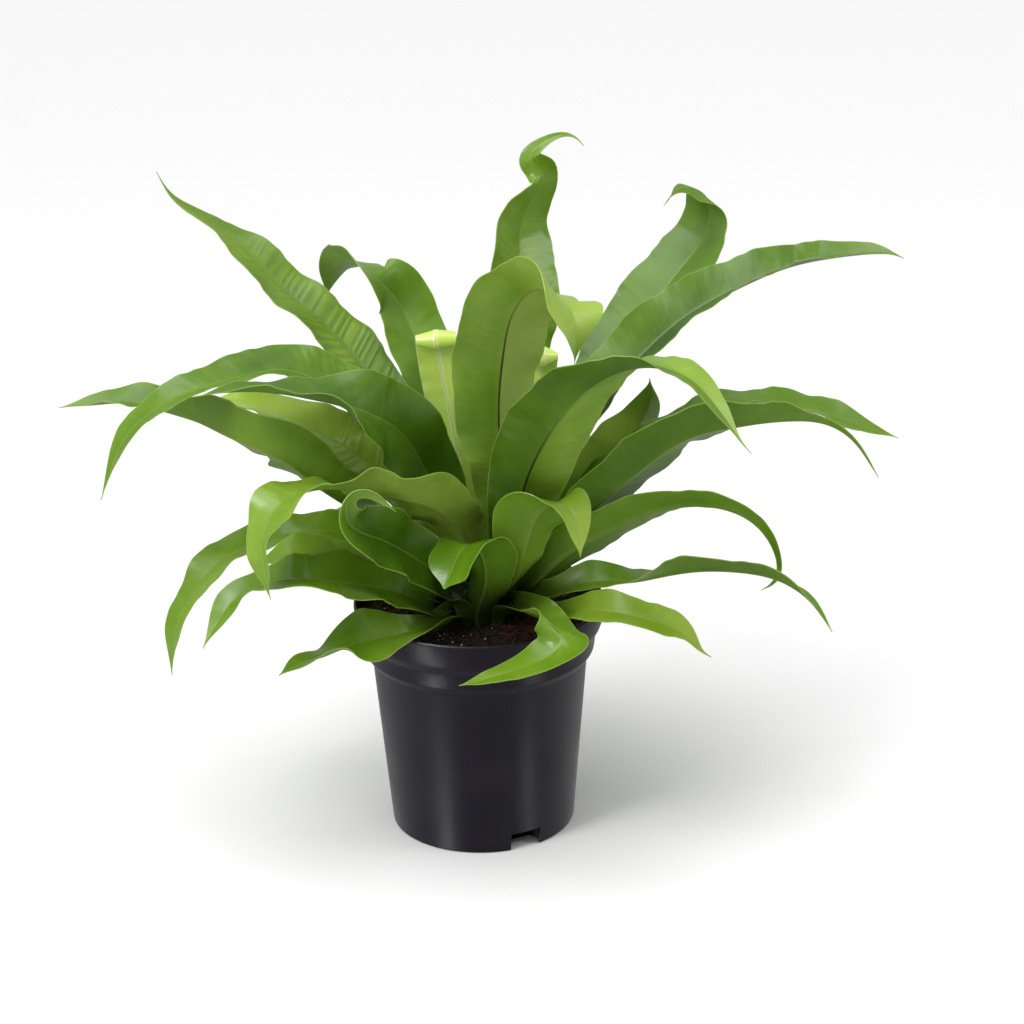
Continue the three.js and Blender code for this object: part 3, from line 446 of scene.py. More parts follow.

# How each frond looks: the lightness of its green at its foot, middle and tip, which is
# partly its own tone and partly painted light and shade matched to how lit the frond is, how
# yellow it is, how deep its pleats are, which also sets their painted shade, how glossy it
# is, how brown its midrib is beneath, and how much painted light its right half gets
Look = namedtuple("Look", "foot middle tip yellow pleats gloss brown side", defaults=(0,))
USUAL_LOOK = Look(0.30, 0.50, 0.50, 0.20, 0.3, 0.5, 0.3)
LOOKS = {
    "upper_left": Look(0.20, 0.38, 0.42, 0.60, 1.0, 0.3, 0.3, 0.10),
    "back_left_hook": Look(0.32, 0.60, 0.60, 0.10, 0.2, 0.6, 0.2),
    "left_long": Look(0.28, 0.42, 0.50, 0.22, 0.4, 1.0, 0.3),
    "left_broad": Look(0.20, 0.34, 0.40, 0.12, 0.2, 0.5, 0.3),
    "left_shiny": Look(0.44, 1.00, 0.90, 0.16, 0.9, 1.0, 0.3),
    "left_far": Look(0.30, 0.50, 0.52, 0.25, 0.2, 0.5, 0.3),
    "front_left_big": Look(0.34, 0.78, 0.56, 0.16, 0.2, 0.7, 0.2),
    "scoop": Look(-0.10, 0.34, 0.92, 0.20, 0.2, 0.7, 0.3),
    "left_droop": Look(0.28, 0.56, 0.57, 0.32, 0.2, 0.7, 0.3),
    "left_inner_low": Look(0.32, 0.66, 0.62, 0.28, 0.3, 0.5, 0.3),
    "left_low": Look(0.24, 0.48, 0.53, 0.22, 0.3, 0.6, 0.3),
    "rim_left": Look(0.25, 0.50, 0.54, 0.28, 0.1, 0.5, 0.3),
    "rim_front": Look(0.27, 0.60, 0.66, 0.12, 0.1, 0.9, 0.2),
    "right_lime": Look(0.30, 0.64, 0.72, 0.60, 0.1, 0.6, 0.2),
    "right_thin": Look(0.28, 0.44, 0.54, 0.26, 0.2, 0.5, 0.3),
    "right_hook": Look(0.30, 0.58, 0.62, 0.10, 0.2, 0.4, 0.3),
    "right_droop": Look(0.28, 0.44, 0.52, 0.10, 0.2, 0.9, 0.4),
    "right_upper_long": Look(0.28, 0.50, 0.52, 0.22, 0.2, 0.6, 0.3),
    "front_right_arch": Look(0.20, 0.34, 0.58, 0.16, 0.2, 0.5, 0.95, 0.30),
    "upper_right_long": Look(0.14, 0.16, 0.38, 0.20, 0.3, 0.9, 0.3, 0.22),
    "upper_right_hook": Look(0.24, 0.46, 0.50, 0.16, 0.2, 0.6, 0.3),
    "top_twist": Look(0.30, 0.60, 0.62, 0.22, 0.5, 1.0, 0.3),
    "front_tall": Look(0.34, 0.66, 1.05, 0.12, 0.3, 0.4, 1.3, 0.52),
    "small_pointed": Look(0.90, 1.00, 1.00, 0.15, 0.2, 0.7, 0.3),
    "front_centre_twist": Look(0.22, 0.50, 0.95, 0.28, 0.2, 0.6, 0.6),
    "front_small_fold": Look(0.10, 0.34, 0.46, 0.10, 0.1, 1.0, 0.2),
    "crozier_left": Look(0.85, 1.20, 0.82, 0.45, 0.1, 1.0, 0.0),
    "crozier_right": Look(0.85, 1.15, 0.82, 0.45, 0.1, 1.0, 0.0),
}


class Value:
    """A node's output, so that shader maths reads as plain expressions."""

    def __init__(self, finish, socket):
        self.finish = finish
        self.socket = socket

    def maths(self, operation, *values):
        """A Math node of these values."""
        return self.finish.node("ShaderNodeMath", {"operation": operation}, dict(enumerate(values)))

    def __add__(self, other):
        return self.maths("ADD", self, other)

    def __radd__(self, other):
        return self.maths("ADD", other, self)

    def __sub__(self, other):
        return self.maths("SUBTRACT", self, other)

    def __rsub__(self, other):
        return self.maths("SUBTRACT", other, self)

    def __mul__(self, other):
        return self.maths("MULTIPLY", self, other)

    def __rmul__(self, other):
        return self.maths("MULTIPLY", other, self)

    def __truediv__(self, other):
        return self.maths("DIVIDE", self, other)

    def __abs__(self):
        return self.maths("ABSOLUTE", self)

    def wave(self):
        """A smooth wave between 0 and 1, once for each whole step of the value."""
        return self.maths("SINE", self * (2 * math.pi)) * 0.5 + 0.5


class Finish:
    """A procedural material, and the calls that add nodes to it."""

    def __init__(self, name):
        self.material = bpy.data.materials.new(name)
        self.material.use_nodes = True
        self.tree = self.material.node_tree
        self.tree.nodes.clear()

    def node(self, kind, settings=None, sockets=None, output=0):
        """Adds a node: its settings first, then the values or links of its sockets."""
        node = self.tree.nodes.new(kind)
        for key, value in (settings or {}).items():
            setattr(node, key, value)
        for key, value in (sockets or {}).items():
            socket = node.inputs[key]
            if isinstance(value, Value):
                self.tree.links.new(value.socket, socket)
            elif socket.type == "RGBA":
                socket.default_value = (*value, 1)
            else:
                socket.default_value = value
        return Value(self, node.outputs[output]) if node.outputs else None

    def ramp(self, value, low, high):
        """0 up to the low value, 1 from the high one, and a smooth rise between them."""
        return self.node(
            "ShaderNodeMapRange",
            {"interpolation_type": "SMOOTHSTEP"},
            {"Value": value, "From Min": low, "From Max": high},
        )

    def mix(self, amount, first, second):
        """A colour between two colours."""
        return self.node(
            "ShaderNodeMix", {"data_type": "RGBA"}, {0: amount, 6: first, 7: second}, output=2
        )

    def attribute(self, name, count=3):
        """The numbers of one of the mesh's own attributes, which has up to three."""
        stored = self.node("ShaderNodeAttribute", {"attribute_name": name}, output=1)
        return [
            self.node("ShaderNodeSeparateXYZ", sockets={0: stored}, output=axis)
            for axis in range(count)
        ]

    def place(self):
        """Object coordinates, in metres."""
        return self.node("ShaderNodeTexCoord", output=3)

    def vector(self, x, y, z=0.0):
        """A vector of three values."""
        return self.node("ShaderNodeCombineXYZ", sockets={0: x, 1: y, 2: z})

    def stretched(self, vector, scale):
        """A vector scaled by a different amount along each axis."""
        return self.node(
            "ShaderNodeVectorMath", {"operation": "MULTIPLY"}, {0: vector, 1: scale}
        )

    def noise(self, vector, scale=1.0, detail=2.0, roughness=0.5):
        """Soft blotches. A vector that is scaled already needs no scale."""
        return self.node(
            "ShaderNodeTexNoise",
            sockets={"Vector": vector, "Scale": scale, "Detail": detail, "Roughness": roughness},
        )

    def relief(self, height, depth, under=None):
        """A normal for a height of 0 to 1 times the depth in metres."""
        sockets = {"Height": height, "Distance": depth, "Strength": 1.0}
        if under:
            sockets["Normal"] = under
        return self.node("ShaderNodeBump", sockets=sockets)

    def surface(self, **sockets):
        """Ends the material with its shader. Underscores in a socket's name stand for spaces."""
        named = {key.replace("_", " "): value for key, value in sockets.items()}
        shader = self.node("ShaderNodeBsdfPrincipled", sockets=named)
        self.node("ShaderNodeOutputMaterial", sockets={"Surface": shader})
        return self.material


def blade_finish(name, colours, underside=False, young=False):
    """Leaf tissue: fine slanting side veins, soft swells, a thin midrib, a paler margin, with
    painted shade in the pleats and towards the crown, and painted light on one half.

    A young frond has two pale lines for a midrib and is shinier.
    """
    finish = Finish(name)
    along, across, half_width = finish.attribute("blade")
    light, yellow, pleats = finish.attribute("look")
    gloss, brown, seed = finish.attribute("wear")
    reach = abs(across)
    edge = half_width - reach
    side = finish.ramp(across, *HALVES)
    slant = along - reach * VEIN_SLANT

    def pattern(lengthwise, sizes):
        long, wide, detail = sizes
        return finish.noise(finish.vector(lengthwise * long, across * wide, seed), detail=detail)

    drift = finish.noise(finish.vector(slant * DRIFT[0], side * DRIFT[1] + seed))
    pleat = (slant / PLEAT_SPACING + drift * PLEAT_DRIFT).wave()
    sideways = side * STRANDS[1] + reach * STRANDS[2]
    strands = finish.noise(finish.vector(slant * STRANDS[0], sideways, seed))
    mottle = pattern(along, MOTTLE)
    patches = pattern(along, PATCHES)
    swell = pattern(slant, SWELLS)
    free = finish.ramp(reach, *PLEATS_FROM_RIB) * finish.ramp(edge, *PLEATS_FROM_MARGIN)
    ridge = pleat * free * pleats * finish.ramp(patches + pleats * 0.35, 0.42, 0.85)

    # Each pattern lightens or darkens the leaf by its share, and the tone picks the green. The
    # pleats' share is painted shade in their hollows and painted light on their crests
    tone = light + (ridge - 0.2) * 0.16 + (strands - 0.5) * 0.10
    tone = tone + (mottle - 0.5) * 0.22 + (patches - 0.5) * 0.50
    deep, fresh, pale, warm, margin, rib, rib_brown = colours
    green = finish.mix(finish.ramp(tone, 0.0, 0.62), deep, fresh)
    green = finish.mix(finish.ramp(tone, 0.50, 1.05), green, pale)
    green = finish.mix(yellow * finish.ramp(tone, 0.2, 1.0), green, warm)

    rib_width = YOUNG_RIB_WIDTH if young else RIB_WIDTH + half_width * RIB_WIDTH_SHARE
    rib_reach = abs(reach - TWIN_RIB) if young else reach
    midrib = 1 - finish.ramp(rib_reach / rib_width, 0.45, 1.2)
    rib_colour = finish.mix(finish.ramp(brown, 0.35, 0.6), rib, rib_brown)
    green = finish.mix(midrib * (0.90 if underside or young else 0.40), green, rib_colour)
    green = finish.mix((1 - finish.ramp(edge, *PALE_MARGIN)) * 0.55, green, margin)
    # Painted shade: the blade darkens towards the crown, over its foot's own darker green
    foot = 1 - finish.ramp(along, *SHADED_FOOT)
    green = finish.mix(foot * 0.85, green, FOOT_SHADE_COLOUR)

    height = ridge * 0.30 + strands * 0.05 * free + swell * 0.65 + mottle * 0.10
    dull = YOUNG_DULLNESS if young else UNDER_DULLNESS if underside else UPPER_DULLNESS
    roughness = dull - gloss * GLOSS_SHARE + (mottle - 0.5) * 0.10
    return finish.surface(
        Base_Color=green,
        Roughness=roughness,
        Normal=finish.relief(height, depth=LEAF_RELIEF),
        Specular_IOR_Level=0.25 if underside and not young else 0.5,
        Subsurface_Weight=0.20,
        Subsurface_Radius=(0.45, 1.0, 0.12),
        Subsurface_Scale=0.0014,
    )


def pot_finish(settings):
    """Thin moulded plastic: satin black with a faint grain, draw marks and a little dust."""
    finish = Finish("pot_plastic")
    place = finish.place()
    grain = finish.noise(place, scale=1900.0)
    draw = finish.noise(finish.stretched(place, (260.0, 260.0, 12.0)), detail=3.0)
    cloud = finish.noise(place, scale=26.0, detail=3.0)
    specks = finish.ramp(finish.noise(place, scale=620.0, detail=1.0), 0.70, 0.78)
    dust = finish.ramp(cloud, 0.45, 0.75) * 0.5 + specks * 0.35
    colour = finish.mix(cloud, settings.plastic, settings.plastic_light)
    colour = finish.mix(dust * settings.dust, colour, settings.dust_colour)
    return finish.surface(
        Base_Color=colour,
        Roughness=settings.roughness + (cloud - 0.5) * 0.10 + (grain - 0.5) * 0.06 + dust * 0.08,
        Normal=finish.relief(grain * 0.35 + draw * 0.65, depth=0.00010),
        Specular_IOR_Level=0.22,
    )


def soil_finish(settings):
    """Damp peat: near-black crumb with brown fibre and paler specks."""
    finish = Finish("soil_peat")
    place = finish.place()
    crumb = finish.noise(place, scale=420.0, detail=4.0, roughness=0.7)
    clod = finish.noise(place, scale=110.0, detail=3.0)
    strand = finish.noise(finish.stretched(place, (900.0, 240.0, 240.0)))
    fleck = finish.ramp(finish.noise(place, scale=900.0, detail=1.0), 0.68, 0.74)
    colour = finish.mix(finish.ramp(crumb, 0.35, 0.70), settings.peat_dark, settings.peat)
    colour = finish.mix(finish.ramp(strand, 0.58, 0.72) * 0.6, colour, settings.fibre)
    colour = finish.mix(fleck * 0.5, colour, settings.fleck)
    return finish.surface(
        Base_Color=colour,
        Roughness=0.92 - crumb * 0.14,
        Normal=finish.relief(crumb * 0.6 + clod * 0.4, depth=0.0022),
        Specular_IOR_Level=0.3,
    )


def crumb_finish(name, dark, light, depth, roughness):
    """Loose grains: each has its own tone, with a rough surface."""
    finish = Finish(name)
    tone, = finish.attribute("grain", 1)
    place = finish.place()
    rough = finish.noise(place, scale=900.0, detail=4.0, roughness=0.7)
    cloud = finish.noise(place, scale=240.0)
    colour = finish.mix(tone * 0.7 + rough * 0.3 + (cloud - 0.5) * 0.3, dark, light)
    return finish.surface(
        Base_Color=colour,
        Roughness=roughness + (rough - 0.5) * 0.15,
        Normal=finish.relief(rough, depth),
        Specular_IOR_Level=0.3,
    )


def floor_finish(settings):
    """A plain pale floor with the faintest unevenness."""
    finish = Finish("studio_floor")
    cloud = finish.noise(finish.place(), scale=3.0)
    return finish.surface(
        Base_Color=finish.mix(cloud * 0.15, settings.floor, settings.floor_shade),
        Roughness=0.75 + (cloud - 0.5) * 0.05,
        Specular_IOR_Level=0.1,
    )


def deselect():
    """Clears the selection, because an operator acts on all that is selected."""
    bpy.ops.object.select_all(action="DESELECT")


def named(name):
    """The object that was just added, under its piece's name."""
    piece = bpy.context.view_layer.objects.active
    piece.name = name
    piece.data.name = name
    return piece


def added(name, data):
    """A new object in the scene, made from a mesh, a light or a camera."""
    thing = bpy.data.objects.new(name, data)
    bpy.context.scene.collection.objects.link(thing)
    return thing


def apply_modifier(piece, kind, **settings):
    """Adds a modifier with its settings, and applies it."""
    modifier = piece.modifiers.new(kind.title(), kind)
    for key, value in settings.items():
        setattr(modifier, key, value)
    bpy.context.view_layer.objects.active = piece
    bpy.ops.object.modifier_apply(modifier=modifier.name)


def smooth_shaded(piece, angle):
    """Smooth shading, apart from the edges that bend by more than the angle in degrees."""
    deselect()
    piece.select_set(True)
    bpy.context.view_layer.objects.active = piece
    bpy.ops.object.shade_smooth_by_angle(angle=math.radians(angle))


def coordinates(mesh):
    """The mesh's points as rows of x, y, z."""
    flat = np.empty(len(mesh.vertices) * 3)
    mesh.vertices.foreach_get("co", flat)
    return flat.reshape(-1, 3)


def store(mesh, name, columns):
    """Keeps three numbers for each point of a mesh, for its material to read."""
    rows = np.stack(np.broadcast_arrays(*columns, np.zeros(len(mesh.vertices)))[:3], axis=1)
    attribute = mesh.attributes.new(name, "FLOAT_VECTOR", "POINT")
    attribute.data.foreach_set("vector", rows.astype(np.float32).ravel())


def polar(radius, angle):
    """The x and y of a place at a radius and an angle."""
    return radius * math.cos(angle), radius * math.sin(angle)


def rise(value, low, high):
    """0 up to the low value, 1 from the high one, and a smooth rise between them."""
    t = np.clip((value - low) / (high - low), 0, 1)
    return t * t * (3 - 2 * t)


def spline(route):
    """Points of a smooth curve through the route's points, which holds its two ends."""
    route = np.array(route, dtype=float)
    padded = np.vstack([2 * route[0] - route[1], route, 2 * route[-1] - route[-2]])
    t = (np.arange(SPLINE_STEPS) / SPLINE_STEPS)[:, None]
    spans = []
    for a, b, c, d in zip(padded, padded[1:], padded[2:], padded[3:]):
        spans.append(0.5 * (
            2 * b + (c - a) * t + (2 * a - 5 * b + 4 * c - d) * t ** 2
            + (3 * b - a - 3 * c + d) * t ** 3
        ))
    return np.vstack([*spans, route[-1:]])


def evened(rows, sigma):
    """Rows along a blade, evened out by a bell-shaped window that holds both ends."""
    reach = int(math.ceil(3 * sigma))
    window = np.exp(-0.5 * (np.arange(-reach, reach + 1) / sigma) ** 2)
    window /= window.sum()
    head = 2 * rows[0] - rows[reach:0:-1]
    tail = 2 * rows[-1] - rows[-2:-reach - 2:-1]
    padded = np.vstack([head, rows, tail])
    return np.stack([np.convolve(column, window, "valid") for column in padded.T], axis=1)


def unit(vectors):
    """The vectors, each scaled to length 1."""
    return vectors / np.linalg.norm(vectors, axis=-1, keepdims=True)


def spine_of(frond):
    """Evenly spaced points along a frond, each with its frame, half width and place."""
    fine = spline(frond.route)
    steps = np.linalg.norm(np.diff(fine[:, :3], axis=0), axis=1)
    along = np.concatenate([[0], np.cumsum(steps)])
    length = along[-1]
    spacing = CURL_SPACING if frond.curl else STATION_SPACING
    count = int(round(length / spacing)) + 1
    wanted = np.linspace(0, length, count)
    rows = np.stack([np.interp(wanted, along, column) for column in fine.T], axis=1)
    smoothing = CURL_SMOOTHING if frond.curl else SMOOTHING
    rows = evened(rows, smoothing / spacing)
    points = rows[:, :3]
    tangents = unit(np.gradient(points, axis=0))
    facing = math.radians(frond.facing)
    side = np.array([-math.sin(facing), math.cos(facing), 0])
    sides = []
    for tangent in tangents:
        side = unit(side - tangent * side.dot(tangent))
        sides.append(side)
    sides = np.array(sides)
    ups = np.cross(tangents, sides)
    roll = np.radians(rows[:, 4:5])
    across = sides * np.cos(roll) + ups * np.sin(roll)
    half_width = np.maximum(rows[:, 3], SMALLEST_WIDTH) / 2
    return Spine(
        points, across, np.cross(tangents, across), half_width, wanted, wanted / length, length)


def arch_route(frond):
    """The route of a frond at the back: out and up from its neck, then down to its tip."""
    foot = np.array(polar(1, math.radians(frond.foot)))
    outward = np.array(polar(1, math.radians(frond.facing)))

    def place(out, up, width):
        x, y = BACK_NECK_RADIUS * foot + outward * frond.reach * out
        return x, y, NECK_HEIGHT + (frond.top - NECK_HEIGHT) * up, width, 0

    return (
        (*(BACK_FOOT_RADIUS * foot), FOOT_HEIGHT, FOOT_WIDTH, 0),
        place(0, 0, NECK_WIDTH),
        *(place(out, up, frond.width * wide) for out, up, wide in ARCH),
        place(1, ARCH[-1][1] - frond.droop, TIP_WIDTH),
    )


def curled_route(frond):
    """The route of a young frond: up, then rolled over towards the front and into itself."""
    x, y, z, width, roll = frond.route[-1]
    curl = []
    for i in range(1, CURL_POINTS + 1):
        turn = 2 * math.pi * i / CURL_POINTS_PER_TURN
        radius = frond.curl * (1 - CURL_TIGHTENING * i)
        curl.append((
            x, y - frond.curl + radius * math.cos(turn), z + CURL_RISE + radius * math.sin(turn),
            width * (1 - CURL_NARROWING * i), roll,
        ))
    return (*frond.route, *curl)


def all_fronds():
    """Every frond with its whole route."""
    fronds = [
        frond._replace(route=curled_route(frond)) if frond.curl else frond for frond in FRONDS
    ]
    for i, back in enumerate(BACK_FRONDS):
        fronds.append(Frond(
            back.name, back.facing, BACK_CUP, BACK_RUFFLE, BACK_PHASE_STEP * i, arch_route(back),
        ))
    return fronds


def blade_shape(frond, spine, row, v):
    """Where a blade's points are and how thick it is there, in mm. v is -1 to 1 across it."""
    place, along = spine.place[row], spine.along[row]
    foot = 1 - rise(along, FOOT_END_OF_CHANNEL, FOOT_LENGTH)
    half_width = np.hypot(spine.half_width[row], FOOT_HALF_WIDTH * foot)
    if not frond.curl:
        point = 1 - rise(place, TIP_START, 1.0) ** TIP_BLUNTNESS
        half_width *= np.sqrt(np.maximum(point, LEAST_TIP_SHARE))
    size = np.abs(v)
    cup = math.sin(math.radians(frond.cup)) * np.minimum(1, place / FULL_CUP_PLACE)
    fold = np.sqrt(v ** 2 + MIDRIB_ROUNDING ** 2) - MARGIN_LEVEL
    growing = np.minimum(1, half_width / FULL_RUFFLE_HALF_WIDTH) ** RUFFLE_GROWTH
    growing *= np.minimum(1, place / FULL_RUFFLE_PLACE) * (1 - rise(place, STILL_TIP_START, 1.0))
    shift = np.where(v > 0, WAVE_SHIFT, 0)
    wave = np.sin(2 * math.pi * (spine.length / WAVE_LENGTH * place + frond.phase + shift))
    frill_turns = along / FRILL_LENGTH + FRILL_PHASES * frond.phase + FRILL_SHIFT * shift
    frill = np.sin(2 * math.pi * frill_turns + FRILL_SWAY * wave)
    lift = half_width * fold * cup + frond.ruffle * growing * wave * size ** WAVE_STEEPNESS
    lift += FRILL_SIZE * growing * frill * size ** 3
    lift += FOOT_HALF_WIDTH * foot * (v ** 2 * CHANNEL_DEPTH - CHANNEL_LIFT)
    rib = np.exp(-(v * half_width / MIDRIB_HALF_WIDTH) ** 2)
    lift -= GROOVE_DEPTH * rib * (1 - place)
    spread = half_width * math.cos(math.radians(frond.cup))
    spread *= 1 - CHANNEL_NARROWING * foot * size
    points = spine.point[row] + spine.across[row] * (v * spread)[:, None]
    points += spine.up[row] * lift[:, None]
    middle = np.interp(place, *THICKNESS_AT)
    thickness = MARGIN_THICKNESS + (middle - MARGIN_THICKNESS) * (1 - size ** 2)
    thickness += np.interp(place, *MIDRIB_AT) * rib
    thickness *= 1 - TIP_THINNING * rise(place, TIP_START, 1.0)
    return points, thickness, half_width, along, place


def make_blade(frond, look, materials):
    """One frond: a fine grid on the frond's surface, thickened downwards."""
    spine = spine_of(frond)
    rows = len(spine.place) - 1
    deselect()
    bpy.ops.mesh.primitive_grid_add(
        x_subdivisions=ACROSS_STEPS, y_subdivisions=rows, size=2, calc_uvs=False)
    blade = named("blade_" + frond.name)
    mesh = blade.data
    grid = coordinates(mesh)
    row = np.rint((grid[:, 1] + 1) / 2 * rows).astype(int)
    v = -np.sign(grid[:, 0]) * np.abs(grid[:, 0]) ** ACROSS_CROWDING
    points, thickness, half_width, along, place = blade_shape(frond, spine, row, v)
    mesh.vertices.foreach_set("co", (points * MM).ravel())
    mesh.update()
    # The green's lightness along the blade: partly its own tone, partly painted light and shade
    light = np.interp(place, LIGHT_AT, (look.foot, look.middle, look.middle, look.tip))
    # Painted light: the right half is made lighter, as if light falls on that half
    light += look.side * np.clip(v / LIT_HALF_EDGE, 0, 1)
    pleated = look.pleats * np.exp(-((place - PLEATED_PLACE) / PLEATED_SPREAD) ** 2)
    seed = sum(map(ord, frond.name)) * SEED_STEP
    store(mesh, "blade", (along * MM, v * half_width * MM, half_width * MM))
    store(mesh, "look", (light, look.yellow, pleated))
    store(mesh, "wear", (look.gloss, look.brown * (1 - place), seed))
    thickest = thickness.max()
    group = blade.vertex_groups.new(name="thickness")
    for i, share in enumerate((thickness / thickest).tolist()):
        group.add([i], share, "REPLACE")
    for material in materials:
        mesh.materials.append(material)
    apply_modifier(
        blade, "SOLIDIFY", thickness=thickest * MM, offset=-1, vertex_group="thickness",
        material_offset=1, material_offset_rim=0)
    blade.vertex_groups.clear()
    smooth_shaded(blade, BLADE_CREASE)
    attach(blade, "root")
    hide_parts("frond_" + frond.name)


def colour_property(name, description, default):
    return bpy.props.FloatVectorProperty(
        name=name, description=description, default=default, subtype="COLOR", size=3,
        min=0, max=1)


def number_property(name, description, default, highest, lowest=0, **options):
    """A count where the default is a whole number, or else a measure."""
    kind = bpy.props.IntProperty if isinstance(default, int) else bpy.props.FloatProperty
    return kind(
        name=name, description=description, default=default, min=lowest, max=highest, **options)


class FernLeafSettings(bpy.types.PropertyGroup):
    """Colours of the fronds."""

    deep: colour_property("Deep green", "Shaded and older tissue", (0.022, 0.070, 0.0012))
    fresh: colour_property("Fresh green", "Most of the upper faces", (0.120, 0.255, 0.009))
    pale: colour_property("Pale green", "The lightest upper faces", (0.330, 0.500, 0.064))
    warm: colour_property("Warm green", "Yellower tissue", (0.340, 0.400, 0.035))
    rib: colour_property("Midrib", "The midrib on the upper face", (0.260, 0.370, 0.060))
    margin: colour_property("Margin", "The thin pale margin", (0.280, 0.400, 0.070))
    under_deep: colour_property("Deep underside", "Shaded undersides", (0.026, 0.070, 0.0016))
    under_fresh: colour_property("Underside", "Most undersides", (0.104, 0.218, 0.009))
    under_pale: colour_property("Pale underside", "The lightest backs", (0.290, 0.420, 0.080))
    under_rib: colour_property("Midrib beneath", "The midrib beneath", (0.170, 0.230, 0.040))
    brown_rib: colour_property("Brown midrib", "An older midrib beneath", (0.020, 0.011, 0.003))
    young: colour_property("Young tissue", "The two rolled young fronds", (0.600, 0.780, 0.150))
    young_deep: colour_property("Young shade", "Their darker tissue", (0.360, 0.560, 0.060))
    young_rib: colour_property("Young midrib", "Their white midrib", (0.750, 0.800, 0.520))


class FernPotSettings(bpy.types.PropertyGroup):
    """Finish of the nursery pot."""

    plastic: colour_property("Plastic", "The black plastic", (0.0036, 0.0026, 0.0066))
    plastic_light: colour_property("Worn plastic", "Its paler clouds", (0.0058, 0.0045, 0.0100))
    dust_colour: colour_property("Dust", "Dried soil dust", (0.120, 0.105, 0.090))
    dust: number_property("Dust amount", "How much dust lies on it", 0.05, 1, subtype="FACTOR")
    roughness: number_property(
        "Roughness", "Roughness of the plastic", 0.31, 1, subtype="FACTOR")


class FernSoilSettings(bpy.types.PropertyGroup):
    """The peat and what lies in it."""

    peat_dark: colour_property("Dark peat", "Damp peat", (0.006, 0.004, 0.003))
    peat: colour_property("Peat", "Drier peat", (0.030, 0.017, 0.010))
    fibre: colour_property("Fibre", "Coir fibre", (0.210, 0.072, 0.032))
    hair: colour_property("Hair", "The crown's hairs", (0.110, 0.050, 0.024))
    fleck: colour_property("Fleck", "Pale flecks", (0.200, 0.160, 0.110))
    perlite: colour_property("Perlite", "White grains", (0.780, 0.760, 0.710))
    crumbs: number_property("Crumbs", "How many loose crumbs lie on the bed", 1500, 4000)
    grains: number_property("Perlite grains", "How many white grains show", 60, 400)
    strands: number_property("Coir strands", "How many fibres lie on the bed", 330, 900)
    hairs: number_property("Crown hairs", "How many hairs stand round the crown", 260, 900)


class FernStudioSettings(bpy.types.PropertyGroup):
    """The floor, the lights and the camera."""

    floor: colour_property("Floor", "The pale floor", (0.90, 0.90, 0.90))
    floor_shade: colour_property("Floor shade", "Its faint clouds", (0.86, 0.86, 0.86))
    sky: number_property("Room light", "Strength of the white surroundings", 0.50, 5)
    overhead: number_property(
        "Overhead light", "Strength of the broad light from above", 1.75, 20)
    left: number_property(
        "Left light", "Power of the tall panel on the left", 14.0, 1000, unit="POWER")
    right: number_property(
        "Right light", "Power of the tall panel on the right", 5.0, 1000, unit="POWER")
    strips: number_property(
        "Strip lights", "Power of the strips that shine on the pot", 7.5, 1000, unit="POWER")
    lens: number_property(
        "Focal length", "Of the camera, in mm on a 36 mm sensor", 89.1, 500, lowest=1)


def leaf_finishes(settings):
    """The upper face and the underside of the fronds, old and young."""
    upper = (
        settings.deep, settings.fresh, settings.pale, settings.warm, settings.margin,
        settings.rib, settings.rib)
    under = (
        settings.under_deep, settings.under_fresh, settings.under_pale, settings.warm,
        settings.margin, settings.under_rib, settings.brown_rib)
    young = (
        settings.young_deep, settings.young_deep, settings.young, settings.young,
        settings.young_rib, settings.young_rib, settings.young_rib)
    old_pair = (
        blade_finish("leaf_upper", upper), blade_finish("leaf_underside", under, underside=True))
    young_pair = (
        blade_finish("young_upper", young, young=True),
        blade_finish("young_underside", young, underside=True, young=True))
    return old_pair, young_pair


class FERN_OT_fronds(bpy.types.Operator):
    """Adds every frond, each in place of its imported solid"""

    bl_idname = "fern.fronds"
    bl_label = "Fronds"

    def execute(self, context):
        old_pair, young_pair = leaf_finishes(context.scene.fern_leaf)
        for frond in all_fronds():
            look = LOOKS.get(frond.name, USUAL_LOOK)
            make_blade(frond, look, young_pair if frond.curl else old_pair)
        return {"FINISHED"}


def scaled_ring(factor, height):
    """Scales the selected ring about the pot's axis."""
    bpy.ops.transform.resize(value=(factor, factor, 1), center_override=(0, 0, height))


def turned_shell(name, section, sides):
    """A closed shell turned from its section: one ring drawn up, scaled, and capped twice."""
    deselect()
    radius, height = section[0][0] * MM, section[0][1] * MM
    bpy.ops.mesh.primitive_circle_add(
        vertices=sides, radius=radius, fill_type="NOTHING", location=(0, 0, height))
    shell = named(name)
    bpy.ops.object.transform_apply(location=True, rotation=False, scale=False)
    bpy.ops.object.mode_set(mode="EDIT")
    bpy.ops.mesh.select_all(action="SELECT")
    for wide, high in section[1:]:
        wide, high = wide * MM, high * MM
        bpy.ops.mesh.extrude_region_move(TRANSFORM_OT_translate={"value": (0, 0, high - height)})
        scaled_ring(wide / radius, high)
        radius, height = wide, high
    bpy.ops.mesh.edge_face_add()
    bpy.ops.object.mode_set(mode="OBJECT")
    cap_first_ring(shell, section[0], sides)
    return shell


def cap_first_ring(shell, first, sides):
    """Closes the ring that the shell began with, and turns every face outwards."""
    mesh = bmesh.new()
    mesh.from_mesh(shell.data)
    mesh.verts.ensure_lookup_table()
    mesh.faces.new([mesh.verts[i] for i in range(sides)])
    bmesh.ops.recalc_face_normals(mesh, faces=mesh.faces)
    mesh.to_mesh(shell.data)
    mesh.free()


